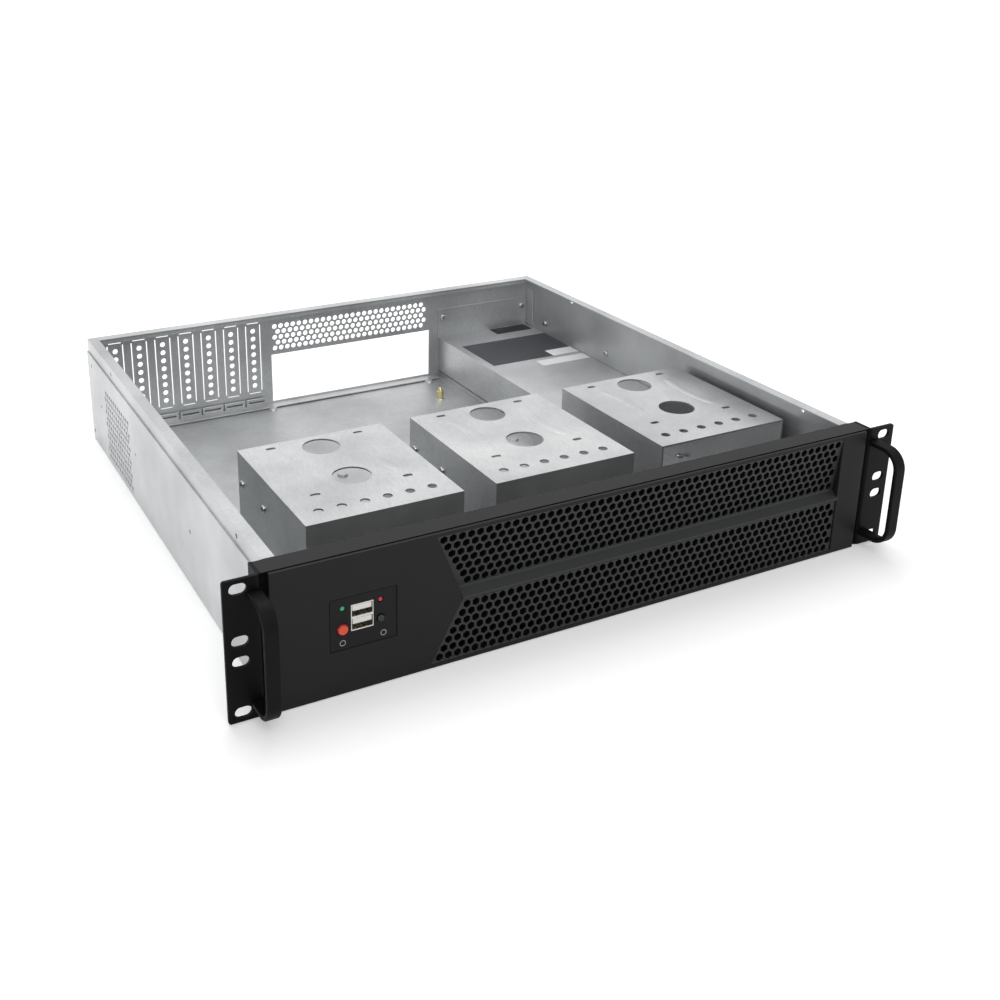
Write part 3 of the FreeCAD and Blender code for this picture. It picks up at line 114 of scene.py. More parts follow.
def rod(name, axis, radius, start, reach, sides=32, end_radius=None):
    """A cylinder or cone from its start along an axis, as a start."""
    clear()
    end = radius if end_radius is None else end_radius
    bpy.ops.mesh.primitive_cone_add(vertices=sides, radius1=radius * MM, radius2=end * MM, depth=reach * MM)
    piece = bpy.context.object
    piece.name = name
    piece.rotation_euler = TURNS[axis]
    middle = list(start)
    middle["XYZ".index(axis)] += reach / 2
    piece.location = [size * MM for size in middle]
    settle()
    return piece


def enter(piece):
    """Edit the piece with nothing selected."""
    take(piece)
    bpy.ops.object.mode_set(mode="EDIT")
    bpy.ops.mesh.select_mode(type="FACE")
    bpy.ops.mesh.select_all(action="DESELECT")


def leave():
    """Go back to whole pieces."""
    bpy.ops.object.mode_set(mode="OBJECT")


def pick(kind, test):
    """In edit mode, select parts whose middle in millimetres, and normal or direction, pass the test."""
    bpy.ops.mesh.select_mode(type=kind)
    bpy.ops.mesh.select_all(action="DESELECT")
    mesh = bmesh.from_edit_mesh(bpy.context.object.data)
    if kind == "FACE":
        for face in mesh.faces:
            face.select_set(bool(test(face.calc_center_median() / MM, face.normal)))
    elif kind == "EDGE":
        for edge in mesh.edges:
            ends = [vertex.co for vertex in edge.verts]
            way = (ends[1] - ends[0]).normalized()
            edge.select_set(bool(test((ends[0] + ends[1]) / 2 / MM, way)))
    else:
        for vertex in mesh.verts:
            vertex.select_set(bool(test(vertex.co / MM, vertex.normal)))
    mesh.select_flush_mode()
    bmesh.update_edit_mesh(bpy.context.object.data)


def drop(kind, test):
    """In edit mode, delete the parts that pass the test."""
    pick(kind, test)
    bpy.ops.mesh.delete(type=kind)


def pull(x=0, y=0, z=0):
    """Extrude the selected edges or faces by millimetres."""
    bpy.ops.mesh.extrude_region_move(TRANSFORM_OT_translate={"value": (x * MM, y * MM, z * MM)})


def shift(x=0, y=0, z=0):
    """Move the selected parts by millimetres."""
    bpy.ops.transform.translate(value=(x * MM, y * MM, z * MM))


def outwards():
    """Turn all faces of the mesh in edit mode outwards."""
    bpy.ops.mesh.select_all(action="SELECT")
    bpy.ops.mesh.normals_make_consistent(inside=False)


def finish_with(piece, kind, **settings):
    """Put a modifier on the piece and apply it."""
    take(piece)
    modifier = piece.modifiers.new(kind.title(), kind)
    for name, value in settings.items():
        setattr(modifier, name, value)
    bpy.ops.object.modifier_apply(modifier=modifier.name)
    return piece


def thicken(piece, sheet, offset=-1):
    """Give a folded skin its sheet thickness, inwards where the offset is -1."""
    return finish_with(piece, "SOLIDIFY", thickness=sheet * MM, offset=offset, use_even_offset=True)


def soften(piece, width, segments=2, angle=40):
    """Round the edges that are sharper than the angle."""
    return finish_with(piece, "BEVEL", width=width * MM, segments=segments, limit_method="ANGLE",
                       angle_limit=math.radians(angle))


def row(piece, count, step):
    """Repeat the piece's mesh by a step in millimetres."""
    return finish_with(piece, "ARRAY", count=count, use_relative_offset=False, use_constant_offset=True,
                       constant_offset_displace=[size * MM for size in step])


def join(piece, *others):
    """Make one piece of several, under the first one's name."""
    clear()
    for other in others:
        other.select_set(True)
    piece.select_set(True)
    bpy.context.view_layer.objects.active = piece
    if others:
        bpy.ops.object.join()
    return piece


def carve(piece, *tools):
    """Cut closed, separate tools from a closed piece."""
    tool = join(tools[0], *tools[1:])
    finish_with(piece, "BOOLEAN", operation="DIFFERENCE", object=tool, solver="MANIFOLD")
    bpy.data.objects.remove(tool)
    return piece


def smooth(piece, angle=35):
    """Shade the piece as rounded, with crisp edges above the angle and flat faces kept flat."""
    take(piece)
    bpy.ops.object.shade_smooth_by_angle(angle=math.radians(angle))
    return finish_with(piece, "WEIGHTED_NORMAL", weight=100, keep_sharp=True)


def obround(name, axis, radius, start, reach, spread, along, sides=24):
    """A slot-shaped rod: its halves moved apart by the spread along an axis."""
    piece = rod(name, axis, radius, start, reach, sides)
    number = "XYZ".index(along)
    enter(piece)
    for side in (-1, 1):
        pick("VERT", lambda at, way: (at[number] - start[number]) * side > 0.01)
        shift(**{along.lower(): side * spread})
    leave()
    return piece


def dress(piece, body, finish, slot, *nodes):
    """Give the piece its finish and body, and the solids that it stands for."""
    piece.data.materials.clear()
    for each in finish if isinstance(finish, (list, tuple)) else [finish]:
        piece.data.materials.append(each)
    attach(piece, body)
    if nodes:
        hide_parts(*nodes)
    return piece


def recolour(piece, number, test):
    """Give the faces that pass the test another of the piece's finishes."""
    for face in piece.data.polygons:
        if test(face.center / MM, face.normal):
            face.material_index = number


# ---------------------------------------------------------------- finishes

def colour(code):
    """An sRGB hex value as Blender's linear colour."""
    shares = [int(code[place:place + 2], 16) / 255 for place in (0, 2, 4)]
    linear = [share / 12.92 if share <= 0.04045 else ((share + 0.055) / 1.055) ** 2.4 for share in shares]
    return (*linear, 1.0)


def feed(tree, node, sockets):
    """Give each named socket of a node its value or another node's output."""
    for name, value in sockets.items():
        if isinstance(value, bpy.types.NodeSocket):
            tree.links.new(value, node.inputs[name])
        else:
            node.inputs[name].default_value = value


def add(tree, kind, sockets=None, **settings):
    """Add a node with its settings, and feed its sockets."""
    made = tree.nodes.new("ShaderNode" + kind)
    for name, value in settings.items():
        setattr(made, name, value)
    feed(tree, made, sockets or {})
    return made


def new_material(name):
    """A material with a plain shader and the piece's own coordinates."""
    material = bpy.data.materials.new(name)
    material.use_nodes = True
    tree = material.node_tree
    tree.nodes.clear()
    shader = add(tree, "BsdfPrincipled")
    tree.links.new(shader.outputs["BSDF"], add(tree, "OutputMaterial").inputs["Surface"])
    where = add(tree, "TexCoord").outputs["Object"]
    return material, tree, shader, where


def mixed(tree, share, low, high):
    """A colour between two hex values by a share."""
    blend = add(tree, "Mix", data_type="RGBA")
    for item in blend.inputs:
        if item.name == "A" and item.type == "RGBA":
            item.default_value = colour(low)
        if item.name == "B" and item.type == "RGBA":
            item.default_value = colour(high)
    tree.links.new(share, blend.inputs["Factor"])
    return [item for item in blend.outputs if item.type == "RGBA"][0]


def between(tree, share, low, high):
    """Turn a share from 0 to 1 into a value from low to high."""
    return add(tree, "MapRange", {"Value": share, "To Min": low, "To Max": high}).outputs["Result"]


def galvanised(name, dark, light, along, rough=(0.34, 0.46)):
    """Electro-galvanised steel sheet, cold rolled: grey metal with a soft cloudy sheen, faint
    rolling lines along the sheet and scattered handling marks."""
    material, tree, shader, where = new_material(name)
    stretched = add(tree, "Mapping", {"Vector": where, "Scale": along}).outputs["Vector"]
    cloud = add(tree, "TexNoise", {"Vector": where, "Scale": 14.0, "Detail": 3.0, "Roughness": 0.55})
    lines = add(tree, "TexNoise", {"Vector": stretched, "Scale": 260.0, "Detail": 2.0, "Roughness": 0.6})
    grain = add(tree, "TexNoise", {"Vector": where, "Scale": 1400.0, "Detail": 1.0})
    share = add(tree, "Math", {0: cloud.outputs["Fac"], 1: lines.outputs["Fac"]},
                operation="MULTIPLY").outputs["Value"]
    both = add(tree, "MapRange", {"Value": share, "From Min": 0.12, "From Max": 0.38}).outputs["Result"]
    bump = add(tree, "Bump", {"Strength": 0.10, "Distance": 0.0002, "Height": lines.outputs["Fac"]})
    fine = add(tree, "Bump", {"Strength": 0.08, "Distance": 0.0001, "Height": grain.outputs["Fac"],
                              "Normal": bump.outputs["Normal"]})
    feed(tree, shader, {
        "Base Color": mixed(tree, both, dark, light), "Metallic": 0.7,
        "Roughness": between(tree, cloud.outputs["Fac"], *rough), "Normal": fine.outputs["Normal"]})
    return material


def powder_coat(name, low, high, specular, rough=(0.46, 0.58)):
    """Powder-coated steel: black polyester with the fine leathery texture of the fused powder."""
    material, tree, shader, where = new_material(name)
    skin = add(tree, "TexNoise", {"Vector": where, "Scale": 1500.0, "Detail": 2.0, "Roughness": 0.55})
    cloud = add(tree, "TexNoise", {"Vector": where, "Scale": 24.0, "Detail": 2.0})
    bump = add(tree, "Bump", {"Strength": 0.16, "Distance": 0.0001, "Height": skin.outputs["Fac"]})
    feed(tree, shader, {
        "Base Color": mixed(tree, cloud.outputs["Fac"], low, high), "IOR": 1.5,
        "Specular IOR Level": specular, "Roughness": between(tree, skin.outputs["Fac"], *rough),
        "Normal": bump.outputs["Normal"]})
    return material


def moulded(name, low, high, rough=(0.36, 0.46), scale=900.0, specular=0.5):
    """Injection-moulded plastic: an even colour with the tool's faint eroded grain."""
    material, tree, shader, where = new_material(name)
    grain = add(tree, "TexNoise", {"Vector": where, "Scale": scale, "Detail": 2.0})
    cloud = add(tree, "TexNoise", {"Vector": where, "Scale": 60.0, "Detail": 2.0})
    bump = add(tree, "Bump", {"Strength": 0.08, "Distance": 0.0001, "Height": grain.outputs["Fac"]})
    feed(tree, shader, {
        "Base Color": mixed(tree, cloud.outputs["Fac"], low, high), "IOR": 1.5,
        "Specular IOR Level": specular, "Roughness": between(tree, grain.outputs["Fac"], *rough),
        "Normal": bump.outputs["Normal"]})
    return material


def bright_metal(name, low, high, rough=(0.18, 0.30)):
    """Plated metal: smooth and bright, with a slightly uneven plating."""
    material, tree, shader, where = new_material(name)
    cloud = add(tree, "TexNoise", {"Vector": where, "Scale": 500.0, "Detail": 2.0})
    feed(tree, shader, {
        "Base Color": mixed(tree, cloud.outputs["Fac"], low, high), "Metallic": 1.0,
        "Roughness": between(tree, cloud.outputs["Fac"], *rough)})
    return material


def open_foam(name, low, high):
    """Open-cell polyurethane foam: pits about 1.5 mm across, bumped and painted darker towards their middles
    as shade.
    """
    material, tree, shader, where = new_material(name)
    cells = add(tree, "TexVoronoi", {"Vector": where, "Scale": 650.0})
    pits = cells.outputs["Distance"]
    bump = add(tree, "Bump", {"Strength": 0.9, "Distance": 0.0008, "Height": pits})
    feed(tree, shader, {"Base Color": mixed(tree, pits, low, high), "Roughness": 0.95,
                        "Specular IOR Level": 0.08, "Normal": bump.outputs["Normal"]})
    return material


PAN_STEEL = galvanised("galvanised_steel_floor", "a8aaac", "d2d4d5", along=(1, 18, 18))
WALL_STEEL = galvanised("galvanised_steel_rear", "b2b4b6", "dadcdd", along=(18, 18, 1))
CAGE_STEEL = galvanised("galvanised_steel_cage", "aeb0b2", "d8dada", rough=(0.30, 0.40), along=(20, 1, 20))
PSU_STEEL = galvanised("galvanised_steel_supply", "aaacae", "d2d4d5", along=(20, 1, 20))
BEZEL_COAT = powder_coat("powder_coated_steel_black", "100f10", "171618", specular=0.22)
# Painted highlight: the mesh takes a lighter, shinier copy of the black coat for the light along its webs.
MESH_HIGHLIGHT_COAT = powder_coat("powder_coated_mesh_painted_highlight", "1f2021", "28292a", specular=0.4)
# Painted highlight: a lighter grey copy of the black coat for the bright line along the mesh's ridge.
RIDGE_HIGHLIGHT_COAT = powder_coat("powder_coated_ridge_painted_highlight", "6a6a6c", "8a8a8c", rough=(0.24, 0.34), specular=0.8)
EAR_COAT = powder_coat("powder_coated_ear_black", "090909", "0e0e0f", specular=0.1)
HANDLE_COAT = powder_coat("painted_handle_black", "0a0a0b", "101011", rough=(0.5, 0.6), specular=0.1)
# Painted shade: near-black foam behind the mesh and on the frame's front, that makes the mesh's holes look
# black.
SHADE_FOAM = open_foam("foam_painted_shade_black", "030303", "0a0a0a")
PANEL_ABS = moulded("moulded_abs_black", "0c0c0d", "121213", rough=(0.5, 0.6), specular=0.2)
BOARD_RESIN = moulded("glass_epoxy_board", "16321f", "1f4229", rough=(0.30, 0.42))
SOCKET_PLATE = bright_metal("nickel_plated_shell", "b4b2ac", "d6d4ce")
TONGUE_NYLON = moulded("moulded_nylon_white", "f0ede4", "faf8f2")
SWITCH_ABS = moulded("moulded_switch_body", "2a2b2d", "3a3b3d")
POWER_RED = moulded("moulded_acrylic_red", "e8401e", "f4582e", rough=(0.16, 0.24))
# Painted shade: a darker red for the power cap's crown and side.
POWER_SIDE_SHADE = moulded("acrylic_red_painted_shade", "9c1c10", "b02614", rough=(0.16, 0.24))
RESET_BLACK = moulded("moulded_reset_black", "0c0c0d", "141415", rough=(0.20, 0.30))
LAMP_GREEN = moulded("moulded_lamp_green", "1f9a5c", "3cc07c", rough=(0.12, 0.2))
LAMP_RED = moulded("moulded_lamp_red", "b41f3c", "d03c55", rough=(0.12, 0.2))
SCREW_ZINC = bright_metal("zinc_plated_screw", "a6a8a8", "cfd1d1")
SCREW_BLACK = bright_metal("black_oxide_screw", "2a2b2c", "3a3b3c", rough=(0.34, 0.46))
BRASS = bright_metal("turned_brass", "c4b47c", "e4d8a8")
FAN_PLASTIC = moulded("moulded_fan_black", "141516", "1c1d1e")
INLET_PLASTIC = moulded("moulded_inlet_black", "101112", "181919")
LABEL_FILM = moulded("printed_polyester_label", "323338", "3e3f45", rough=(0.34, 0.42))
STRIP_FILM = moulded("printed_paper_strip", "d9dadb", "e8e9e9", rough=(0.5, 0.6))
PART_PLASTIC = moulded("supply_components", "3a3428", "5a4e38", scale=200.0)
MARK_INK = moulded("printed_panel_marks", "8e9092", "a2a4a6", rough=(0.5, 0.6))

# ---------------------------------------------------------------- finishes of the solids that stay

FINISHES = {
    "chassis_pan": PAN_STEEL, "rear_panel": WALL_STEEL, "front_frame": BEZEL_COAT, "front_bezel": BEZEL_COAT,
    "rack_ear_left": EAR_COAT, "rack_ear_right": EAR_COAT, "handle_left": HANDLE_COAT,
    "handle_right": HANDLE_COAT, "control_plate": PANEL_ABS, "control_board": BOARD_RESIN,
    "usb_shell": SOCKET_PLATE, "usb_tongues": TONGUE_NYLON, "control_switches": SWITCH_ABS,
    "power_button": POWER_RED, "reset_button": RESET_BLACK, "power_led": LAMP_GREEN, "drive_led": LAMP_RED,
    "drive_cage_1": CAGE_STEEL, "drive_cage_2": CAGE_STEEL, "drive_cage_3": CAGE_STEEL,
    "psu_case": PSU_STEEL, "psu_cover": PSU_STEEL, "psu_mount_plate": WALL_STEEL,
    "psu_fan_frame": FAN_PLASTIC, "psu_fan_rotor": FAN_PLASTIC, "psu_inlet": INLET_PLASTIC,
    "psu_board": BOARD_RESIN, "psu_parts": PART_PLASTIC, "psu_label": LABEL_FILM, "psu_strip": STRIP_FILM,
    "standoff": BRASS, "cage_side_screws": SCREW_ZINC, "cage_foot_screws": SCREW_ZINC,
    "ear_screws": SCREW_BLACK, "frame_screws": SCREW_ZINC, "psu_plate_screws": SCREW_ZINC,
    "psu_screws": SCREW_BLACK, "wall_screws": SCREW_ZINC,
}
for node_name, solid in frame["nodes"].items():
    solid.data.materials.clear()
    solid.data.materials.append(FINISHES[node_name])


# ---------------------------------------------------------------- shared sizes and shapes

# Half width, height of the side's joggle, full height, depth and sheet of the case.
HALF, JOGGLE, TOP, DEPTH, SHEET = 215.0, 77.5, 88.0, 430.0, 1.2
BAND, LIP = HALF - SHEET, 8.0
FRAME_REAR, WALL_INSIDE = 2.4, DEPTH - SHEET


def slice_at(axis, at):
    """Cut all faces of the mesh in edit mode along a plane."""
    number = "XYZ".index(axis)
    bpy.ops.mesh.select_all(action="SELECT")
    bpy.ops.mesh.bisect(plane_co=[at * MM if index == number else 0 for index in range(3)],
                        plane_no=[1 if index == number else 0 for index in range(3)])


def face_out(piece, test, way):
    """Flip an open skin where the face that the test finds doesn't look the given way."""
    for face in piece.data.polygons:
        if test(face.center / MM) and face.normal.dot(Vector(way)) < 0:
            enter(piece)
            bpy.ops.mesh.select_all(action="SELECT")
            bpy.ops.mesh.flip_normals()
            leave()
            break


def copy_of(piece, x=0, y=0, z=0):
    """A copy with its own mesh, moved by millimetres."""
    take(piece)
    bpy.ops.object.duplicate()
    made = bpy.context.object
    made.location = Vector((x, y, z)) * MM
    settle()
    return made


def lattice(name, axis, first, radius, reach, sides, along, count, pitch, up, rows, step):
    """Punches in rows that are staggered by half a pitch."""
    steps = {"X": (1, 0, 0), "Y": (0, 1, 0), "Z": (0, 0, 1)}
    even = rod(name, axis, radius, first, reach, sides)
    across, rise = Vector(steps[along]), Vector(steps[up])
    row(even, count, across * pitch)
    odd = copy_of(even, *(across * pitch / 2 + rise * step))
    row(even, (rows + 1) // 2, rise * step * 2)
    row(odd, rows // 2, rise * step * 2)
    return join(even, odd)


def outline_prism(name, points, y):
    """A closed prism along Y over an outline of (x, z) points."""
    clear()
    bpy.ops.mesh.primitive_circle_add(vertices=len(points), radius=1, fill_type="NGON")
    piece = bpy.context.object
    piece.name = name
    for vertex, (x, z) in zip(piece.data.vertices, points):
        vertex.co = Vector((x, y[0], z)) * MM
    enter(piece)
    bpy.ops.mesh.select_all(action="SELECT")
    pull(y=y[1] - y[0])
    outwards()
    leave()
    return piece


def refined(node, width, segments=2):
    """A welded copy of a solid with its edges eased."""
    take(frame["nodes"][node])
    bpy.ops.object.duplicate()
    piece = bpy.context.object
    piece.parent = None
    piece.name = node + "_eased"
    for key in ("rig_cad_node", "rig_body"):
        del piece[key]
    enter(piece)
    bpy.ops.mesh.select_all(action="SELECT")
    bpy.ops.mesh.remove_doubles(threshold=0.000002)
    bpy.ops.mesh.dissolve_limited(angle_limit=math.radians(0.5))
    leave()
    soften(piece, width, segments)
    return smooth(piece)


# ---------------------------------------------------------------- chassis pan and rear wall

# Holes and screws of the side walls as (y, z), and of the lid as y.
SIDE_HOLES = [(415.7, 68.5), (389.8, 41.8), (424.0, 8.2), (283.3, 41.7), (148.8, 41.6)]
RIGHT_SCREWS = [(395.0, 49.0), (295.5, 50.0)]
LID_SCREWS = [56.0, 351.0]
# Bosses under the motherboard, the one standoff that is fitted, and the rear wall's slot covers.
BOARD_PLACES = [(x, y) for x in (99.4, -58.08, -182.54) for y in (417.0, 262.06)]
STANDOFF = (88.5, 373.7)
COVER_PITCH = 20.32
COVER_PLACES = [-191.8 + COVER_PITCH * number for number in range(7)]
# Drive cages: left side of the first, their pitch, width, front, length and top; screws as (y, z).
CAGE_FIRST, CAGE_PITCH, CAGE_WIDE, CAGE_FRONT, CAGE_LONG, CAGE_TOP = -166.8, 132.3, 108.6, 67.4, 124.0, 72.6
CAGE_SCREWS = [(141.3, 51.0), (182.6, 51.0)]
FEET = [(CAGE_FIRST + CAGE_PITCH * number + x, y, SHEET * 2) for number in range(3)
        for x in (5.0, CAGE_WIDE - 5.0) for y in (87.4, 171.4)]


def chassis_pan():
    """Floor and side walls folded from one sheet, with a joggle for the lid and a lip along the top."""
    pan = block("chassis_sheet", (-HALF, HALF), (FRAME_REAR, WALL_INSIDE), (0, JOGGLE))
    enter(pan)
    drop("FACE", lambda at, way: way.z > ALONG or abs(way.y) > ALONG)
    for side in (-1, 1):
        pick("EDGE", lambda at, way: abs(way.z) > ALONG and at.y < 10 and at.x * side > 0)
        pull(x=-side * 12.0)
    for side in (-1, 1):
        pick("EDGE", lambda at, way: abs(way.y) > ALONG and at.z > JOGGLE - 1 and at.x * side > 0)
        pull(x=-side * SHEET)
        pull(z=TOP - JOGGLE)
        pull(x=-side * LIP)
    outwards()
    leave()
    face_out(pan, lambda at: at.z < 0.01, (0, 0, -1))
    thicken(pan, SHEET)
    carve(pan, block("lip_room", (-HALF - 1, HALF + 1), (FRAME_REAR - 1, 15.2), (86.6, TOP + 1)))
    vent = lattice("side_vent", "X", (-HALF - 1, 301.5, 6.0), 2.35, 4, 10, "Y", 12, 6.2, "Z", 11, 5.4)
    holes = [rod("hole", "X", 1.6, (-HALF - 1, y, z), 4, 16) for y, z in SIDE_HOLES]
    holes += [rod("hole", "X", 1.7, (BAND - 1, y, z), 4, 16) for y, z in RIGHT_SCREWS]
    holes += [rod("hole", "X", 1.6, (side * BAND - 3, y, 82.7), 6, 16)
              for side in (-1, 1) for y in LID_SCREWS]
    holes += [rod("hole", "Z", 1.6, (x, y, -1), 4, 12) for x, y, z in FEET]
    carve(pan, vent, *holes)
    soften(pan, 0.4)
    bosses = [rod("boss", "Z", 4.5, (x, y, SHEET - 0.1), 2.1, 32, 3.4) for x, y in BOARD_PLACES]
    bosses.append(rod("boss", "Z", 4.5, (*STANDOFF, SHEET - 0.1), 0.9, 32, 3.9))
    return smooth(join(pan, *bosses))


def rear_wall():
    """Rear wall: a flat sheet with a lip, slit slot covers, a board opening and a punched vent."""
    deep = (WALL_INSIDE - 1, DEPTH + 1)
    wall = block("rear_sheet", (-HALF, HALF), (WALL_INSIDE, DEPTH), (0, TOP))
    enter(wall)
    slice_at("Z", TOP - SHEET)
    slice_at("X", -BAND + LIP)
    slice_at("X", BAND - LIP)
    pick("FACE", lambda at, way: way.y < -ALONG and at.z > TOP - SHEET and abs(at.x) < BAND - LIP)
    pull(y=-LIP)
    outwards()
    leave()
    carve(wall, *[block("corner", sorted((side * BAND, side * (HALF + 2))), deep, (JOGGLE, TOP + 1))
                  for side in (-1, 1)])
    cuts = []
    for x in COVER_PLACES:
        cuts += [block("slit", (x + edge - 0.5, x + edge + 0.5), deep, (16.8, 78.7)) for edge in (-6.5, 6.5)]
        cuts += [block("slit", (x - 5.4, x + 5.4), deep, (z - 0.45, z + 0.45)) for z in (15.0, 80.5)]
        column = rod("cover_hole", "Y", 2.25, (x, deep[0], 22.2), deep[1] - deep[0], 14)
        cuts.append(row(column, 8, (0, 0, 7.3)))
    carve(wall, *cuts)
    vent = lattice("rear_vent", "Y", (-49.5, deep[0], 54.5), 2.3, 4, 10, "X", 26, 5.85, "Z", 5, 5.05)
    opening = block("board_opening", (-53.3, 105.45), deep, (4.2, 48.65))
    supply = block("supply_opening", (118.8, 210.2), deep, (2.4, 56.0))
    screws = [rod("hole", "Y", 1.7, (x, deep[0], 59.5), 4, 16) for x in (119.58, 207.02)]
    carve(wall, vent, opening, supply, *screws)
    soften(wall, 0.25, 1)
    return smooth(wall)


def wall_flanges():
    """Side and bottom flanges of the rear wall, folded forwards, and the return of its lip."""
    fold = (WALL_INSIDE - 12, WALL_INSIDE)
    left = block("rear_left_flange", (-BAND, -BAND + SHEET), fold, (SHEET, JOGGLE - SHEET))
    right = block("rear_right_flange", (BAND - SHEET, BAND), fold, (41.0, JOGGLE - SHEET))
    bottom = block("rear_bottom_flange", (-BAND + 14, 112.0), (WALL_INSIDE - 9.5, WALL_INSIDE), (1.7, 2.9))
    lip = block("rear_lip_return", (-BAND + LIP, BAND - LIP), (420.8, 422.0), (84.0, TOP - SHEET / 2))
    for flange, segments in ((left, 1), (right, 1), (bottom, 2), (lip, 2)):
        soften(flange, 0.3, segments)
    return join(left, right, bottom, lip)


def bracket_rail():
    """Low rail on the bottom flange with a notch for the tip of each card bracket."""
    rail = block("bracket_rail", (-203.5, -61.0), (426.2, 427.4), (2.3, 10.2))
    across = (425, 428.5)
    notches = [block("notch", (x - 7.4, x + 7.4), across, (6.0, 7.6)) for x in COVER_PLACES]
    gaps = [x + COVER_PITCH / 2 for x in COVER_PLACES[:-1]]
    notches += [block("gap", (x - 0.7, x + 0.7), across, (3.6, 12)) for x in gaps]
    carve(rail, *notches)
    return smooth(soften(rail, 0.2, 1))


# ---------------------------------------------------------------- front bezel

# Front of the plate and rear of its folds; the mesh's window with its arrow; the control panel's window.
FACE, FOLD = -1.2, 1.2
BEZEL_HALF, BEZEL_HIGH = 215.5, 87.5
MESH_TOP, MESH_LOW, RIDGE = 85.2, 2.6, 42.0
TIP, UPPER_CORNER, LOWER_CORNER, MESH_RIGHT = -96.2, -114.0, -117.5, 194.5
PANEL_X, PANEL_Z = (-181.0, -139.5), (28.5, 61.5)
PUNCH, PUNCH_PITCH = 4.6, 6.0
ARROW = [(UPPER_CORNER, MESH_TOP), (MESH_RIGHT, MESH_TOP), (MESH_RIGHT, MESH_LOW), (LOWER_CORNER, MESH_LOW),
         (TIP, RIDGE)]
# The mesh's section from its top down: depth behind the plate's face, and height.
TIERS = [(0.35, MESH_TOP + 0.9), (0.35, MESH_TOP - 0.2), (5.0, RIDGE + 5.4), (4.6, RIDGE + 4.2),
         (-0.7, RIDGE + 0.6), (-0.8, RIDGE - 0.5), (1.0, RIDGE - 2.6), (1.0, MESH_LOW + 0.5),
         (0.35, MESH_LOW), (0.35, MESH_LOW - 0.8)]


def hex_rows(name, first, lean, drop_by, count, y):
    """Seven rows of hexagonal punches that lean by half a pitch and stop at the window's right end."""
    punch = rod(name, "Y", PUNCH / math.sqrt(3), (first[0], y[0], first[1]), y[1] - y[0], 6)
    row(punch, count, (PUNCH_PITCH, 0, 0))
    row(punch, 7, (lean, 0, -drop_by))
    enter(punch)
    pick("VERT", lambda at, way: at.x > MESH_RIGHT)
    bpy.ops.mesh.select_linked()
    bpy.ops.mesh.delete(type="VERT")
    leave()
    return punch


def bezel_plate():
    """Front plate with folded edges, its arrow-ended window and the panel's window."""
    plate = block("bezel_plate", (-BEZEL_HALF, BEZEL_HALF), (FACE, FOLD), (0.1, BEZEL_HIGH))
    enter(plate)
    drop("FACE", lambda at, way: way.y > ALONG)
    leave()
    thicken(plate, SHEET)
    carve(plate, outline_prism("window", ARROW, (FACE - 3, FOLD + 3)))
    carve(plate, block("panel_window", PANEL_X, (FACE - 3, FOLD + 3), PANEL_Z))
    soften(plate, 0.55, 3)
    return smooth(plate)


def bezel_mesh():
    """One sheet pressed into two tiers about a proud ridge, and punched with hexagons."""
    clear()
    bpy.ops.mesh.primitive_grid_add(x_subdivisions=len(TIERS) - 1, y_subdivisions=1, size=1)
    sheet = bpy.context.object
    sheet.name = "bezel_mesh"
    for vertex in sheet.data.vertices:
        y, z = TIERS[round((vertex.co.x + 0.5) * (len(TIERS) - 1))]
        x = LOWER_CORNER - 0.9 if vertex.co.y < 0 else MESH_RIGHT + 0.9
        vertex.co = Vector((x, FACE + y, z)) * MM
    face_out(sheet, lambda at: at.z > 60, (0, -1, 0))
    thicken(sheet, 0.9)
    soften(sheet, 0.4, 2, 12)
    left = LOWER_CORNER - 4
    corner = [(left, MESH_TOP + 4), (UPPER_CORNER - 0.6, MESH_TOP + 4), (UPPER_CORNER - 0.6, MESH_TOP),
              (TIP - 0.6, RIDGE), (LOWER_CORNER - 0.6, MESH_LOW), (LOWER_CORNER - 0.6, MESH_LOW - 4),
              (left, MESH_LOW - 4)]
    reach = (FACE - 4, FACE + 9)
    carve(sheet, outline_prism("arrow_end", corner, reach))
    carve(sheet, hex_rows("upper_holes", (-109.5, 82.2), PUNCH_PITCH / 2, 5.3, 52, reach))
    carve(sheet, hex_rows("lower_holes", (-93.4, 36.6), -PUNCH_PITCH / 2, 5.2, 53, reach))
    return smooth(sheet, 25)


def mesh_lip():
    """The window's turned-in lip, seen as a dark step along the arrow and the right end."""
    lip = outline_prism("mesh_lip", ARROW, (FACE + 0.2, FACE + 5.6))
    enter(lip)
    drop("FACE", lambda at, way: abs(way.y) > ALONG or way.z < -ALONG)
    outwards()
    leave()
    face_out(lip, lambda at: at.x > MESH_RIGHT - 1, (1, 0, 0))
    thicken(lip, 0.8, 1)
    return smooth(lip)


def ridge_bead():
    """Rolled nose between the tiers, in a lighter grey coat that paints the highlight along its edge."""
    bead = rod("ridge_bead", "X", 0.55, (TIP + 0.3, FACE - 0.1, RIDGE + 0.3), MESH_RIGHT - TIP - 0.5, 16)
    soften(bead, 0.3)
    return smooth(bead)


def mesh_shade_foam():
    """Near-black open-cell foam in the frame's channel behind the mesh, put there as painted shade that makes
    the mesh's holes look black.
    """
    foam = block("mesh_shade_foam", (-121.0, 199.0), (5.3, 8.3), (2.5, 86.7))
    soften(foam, 0.8, 3)
    return smooth(foam)


# ---------------------------------------------------------------- rack ears and handles

EAR_IN, EAR_OUT, EAR_HIGH, EAR_SHEET, EAR_LEG = 219.4, 241.3, 88.1, 2.0, 15.0
# Rack slots 465.1 mm apart, with spans of 76.2 and 12.7 mm about the middle.
SLOT_X, SLOT_RISES = 232.55, (-38.1, -6.35, 6.35, 38.1)
HANDLE_X, HANDLE_LOW, HANDLE_TOP, HANDLE_REACH = 223.6, 8.5, 79.5, 26
BAR, BAR_HALF, BAR_BEND = 3.2, 4.25, 14


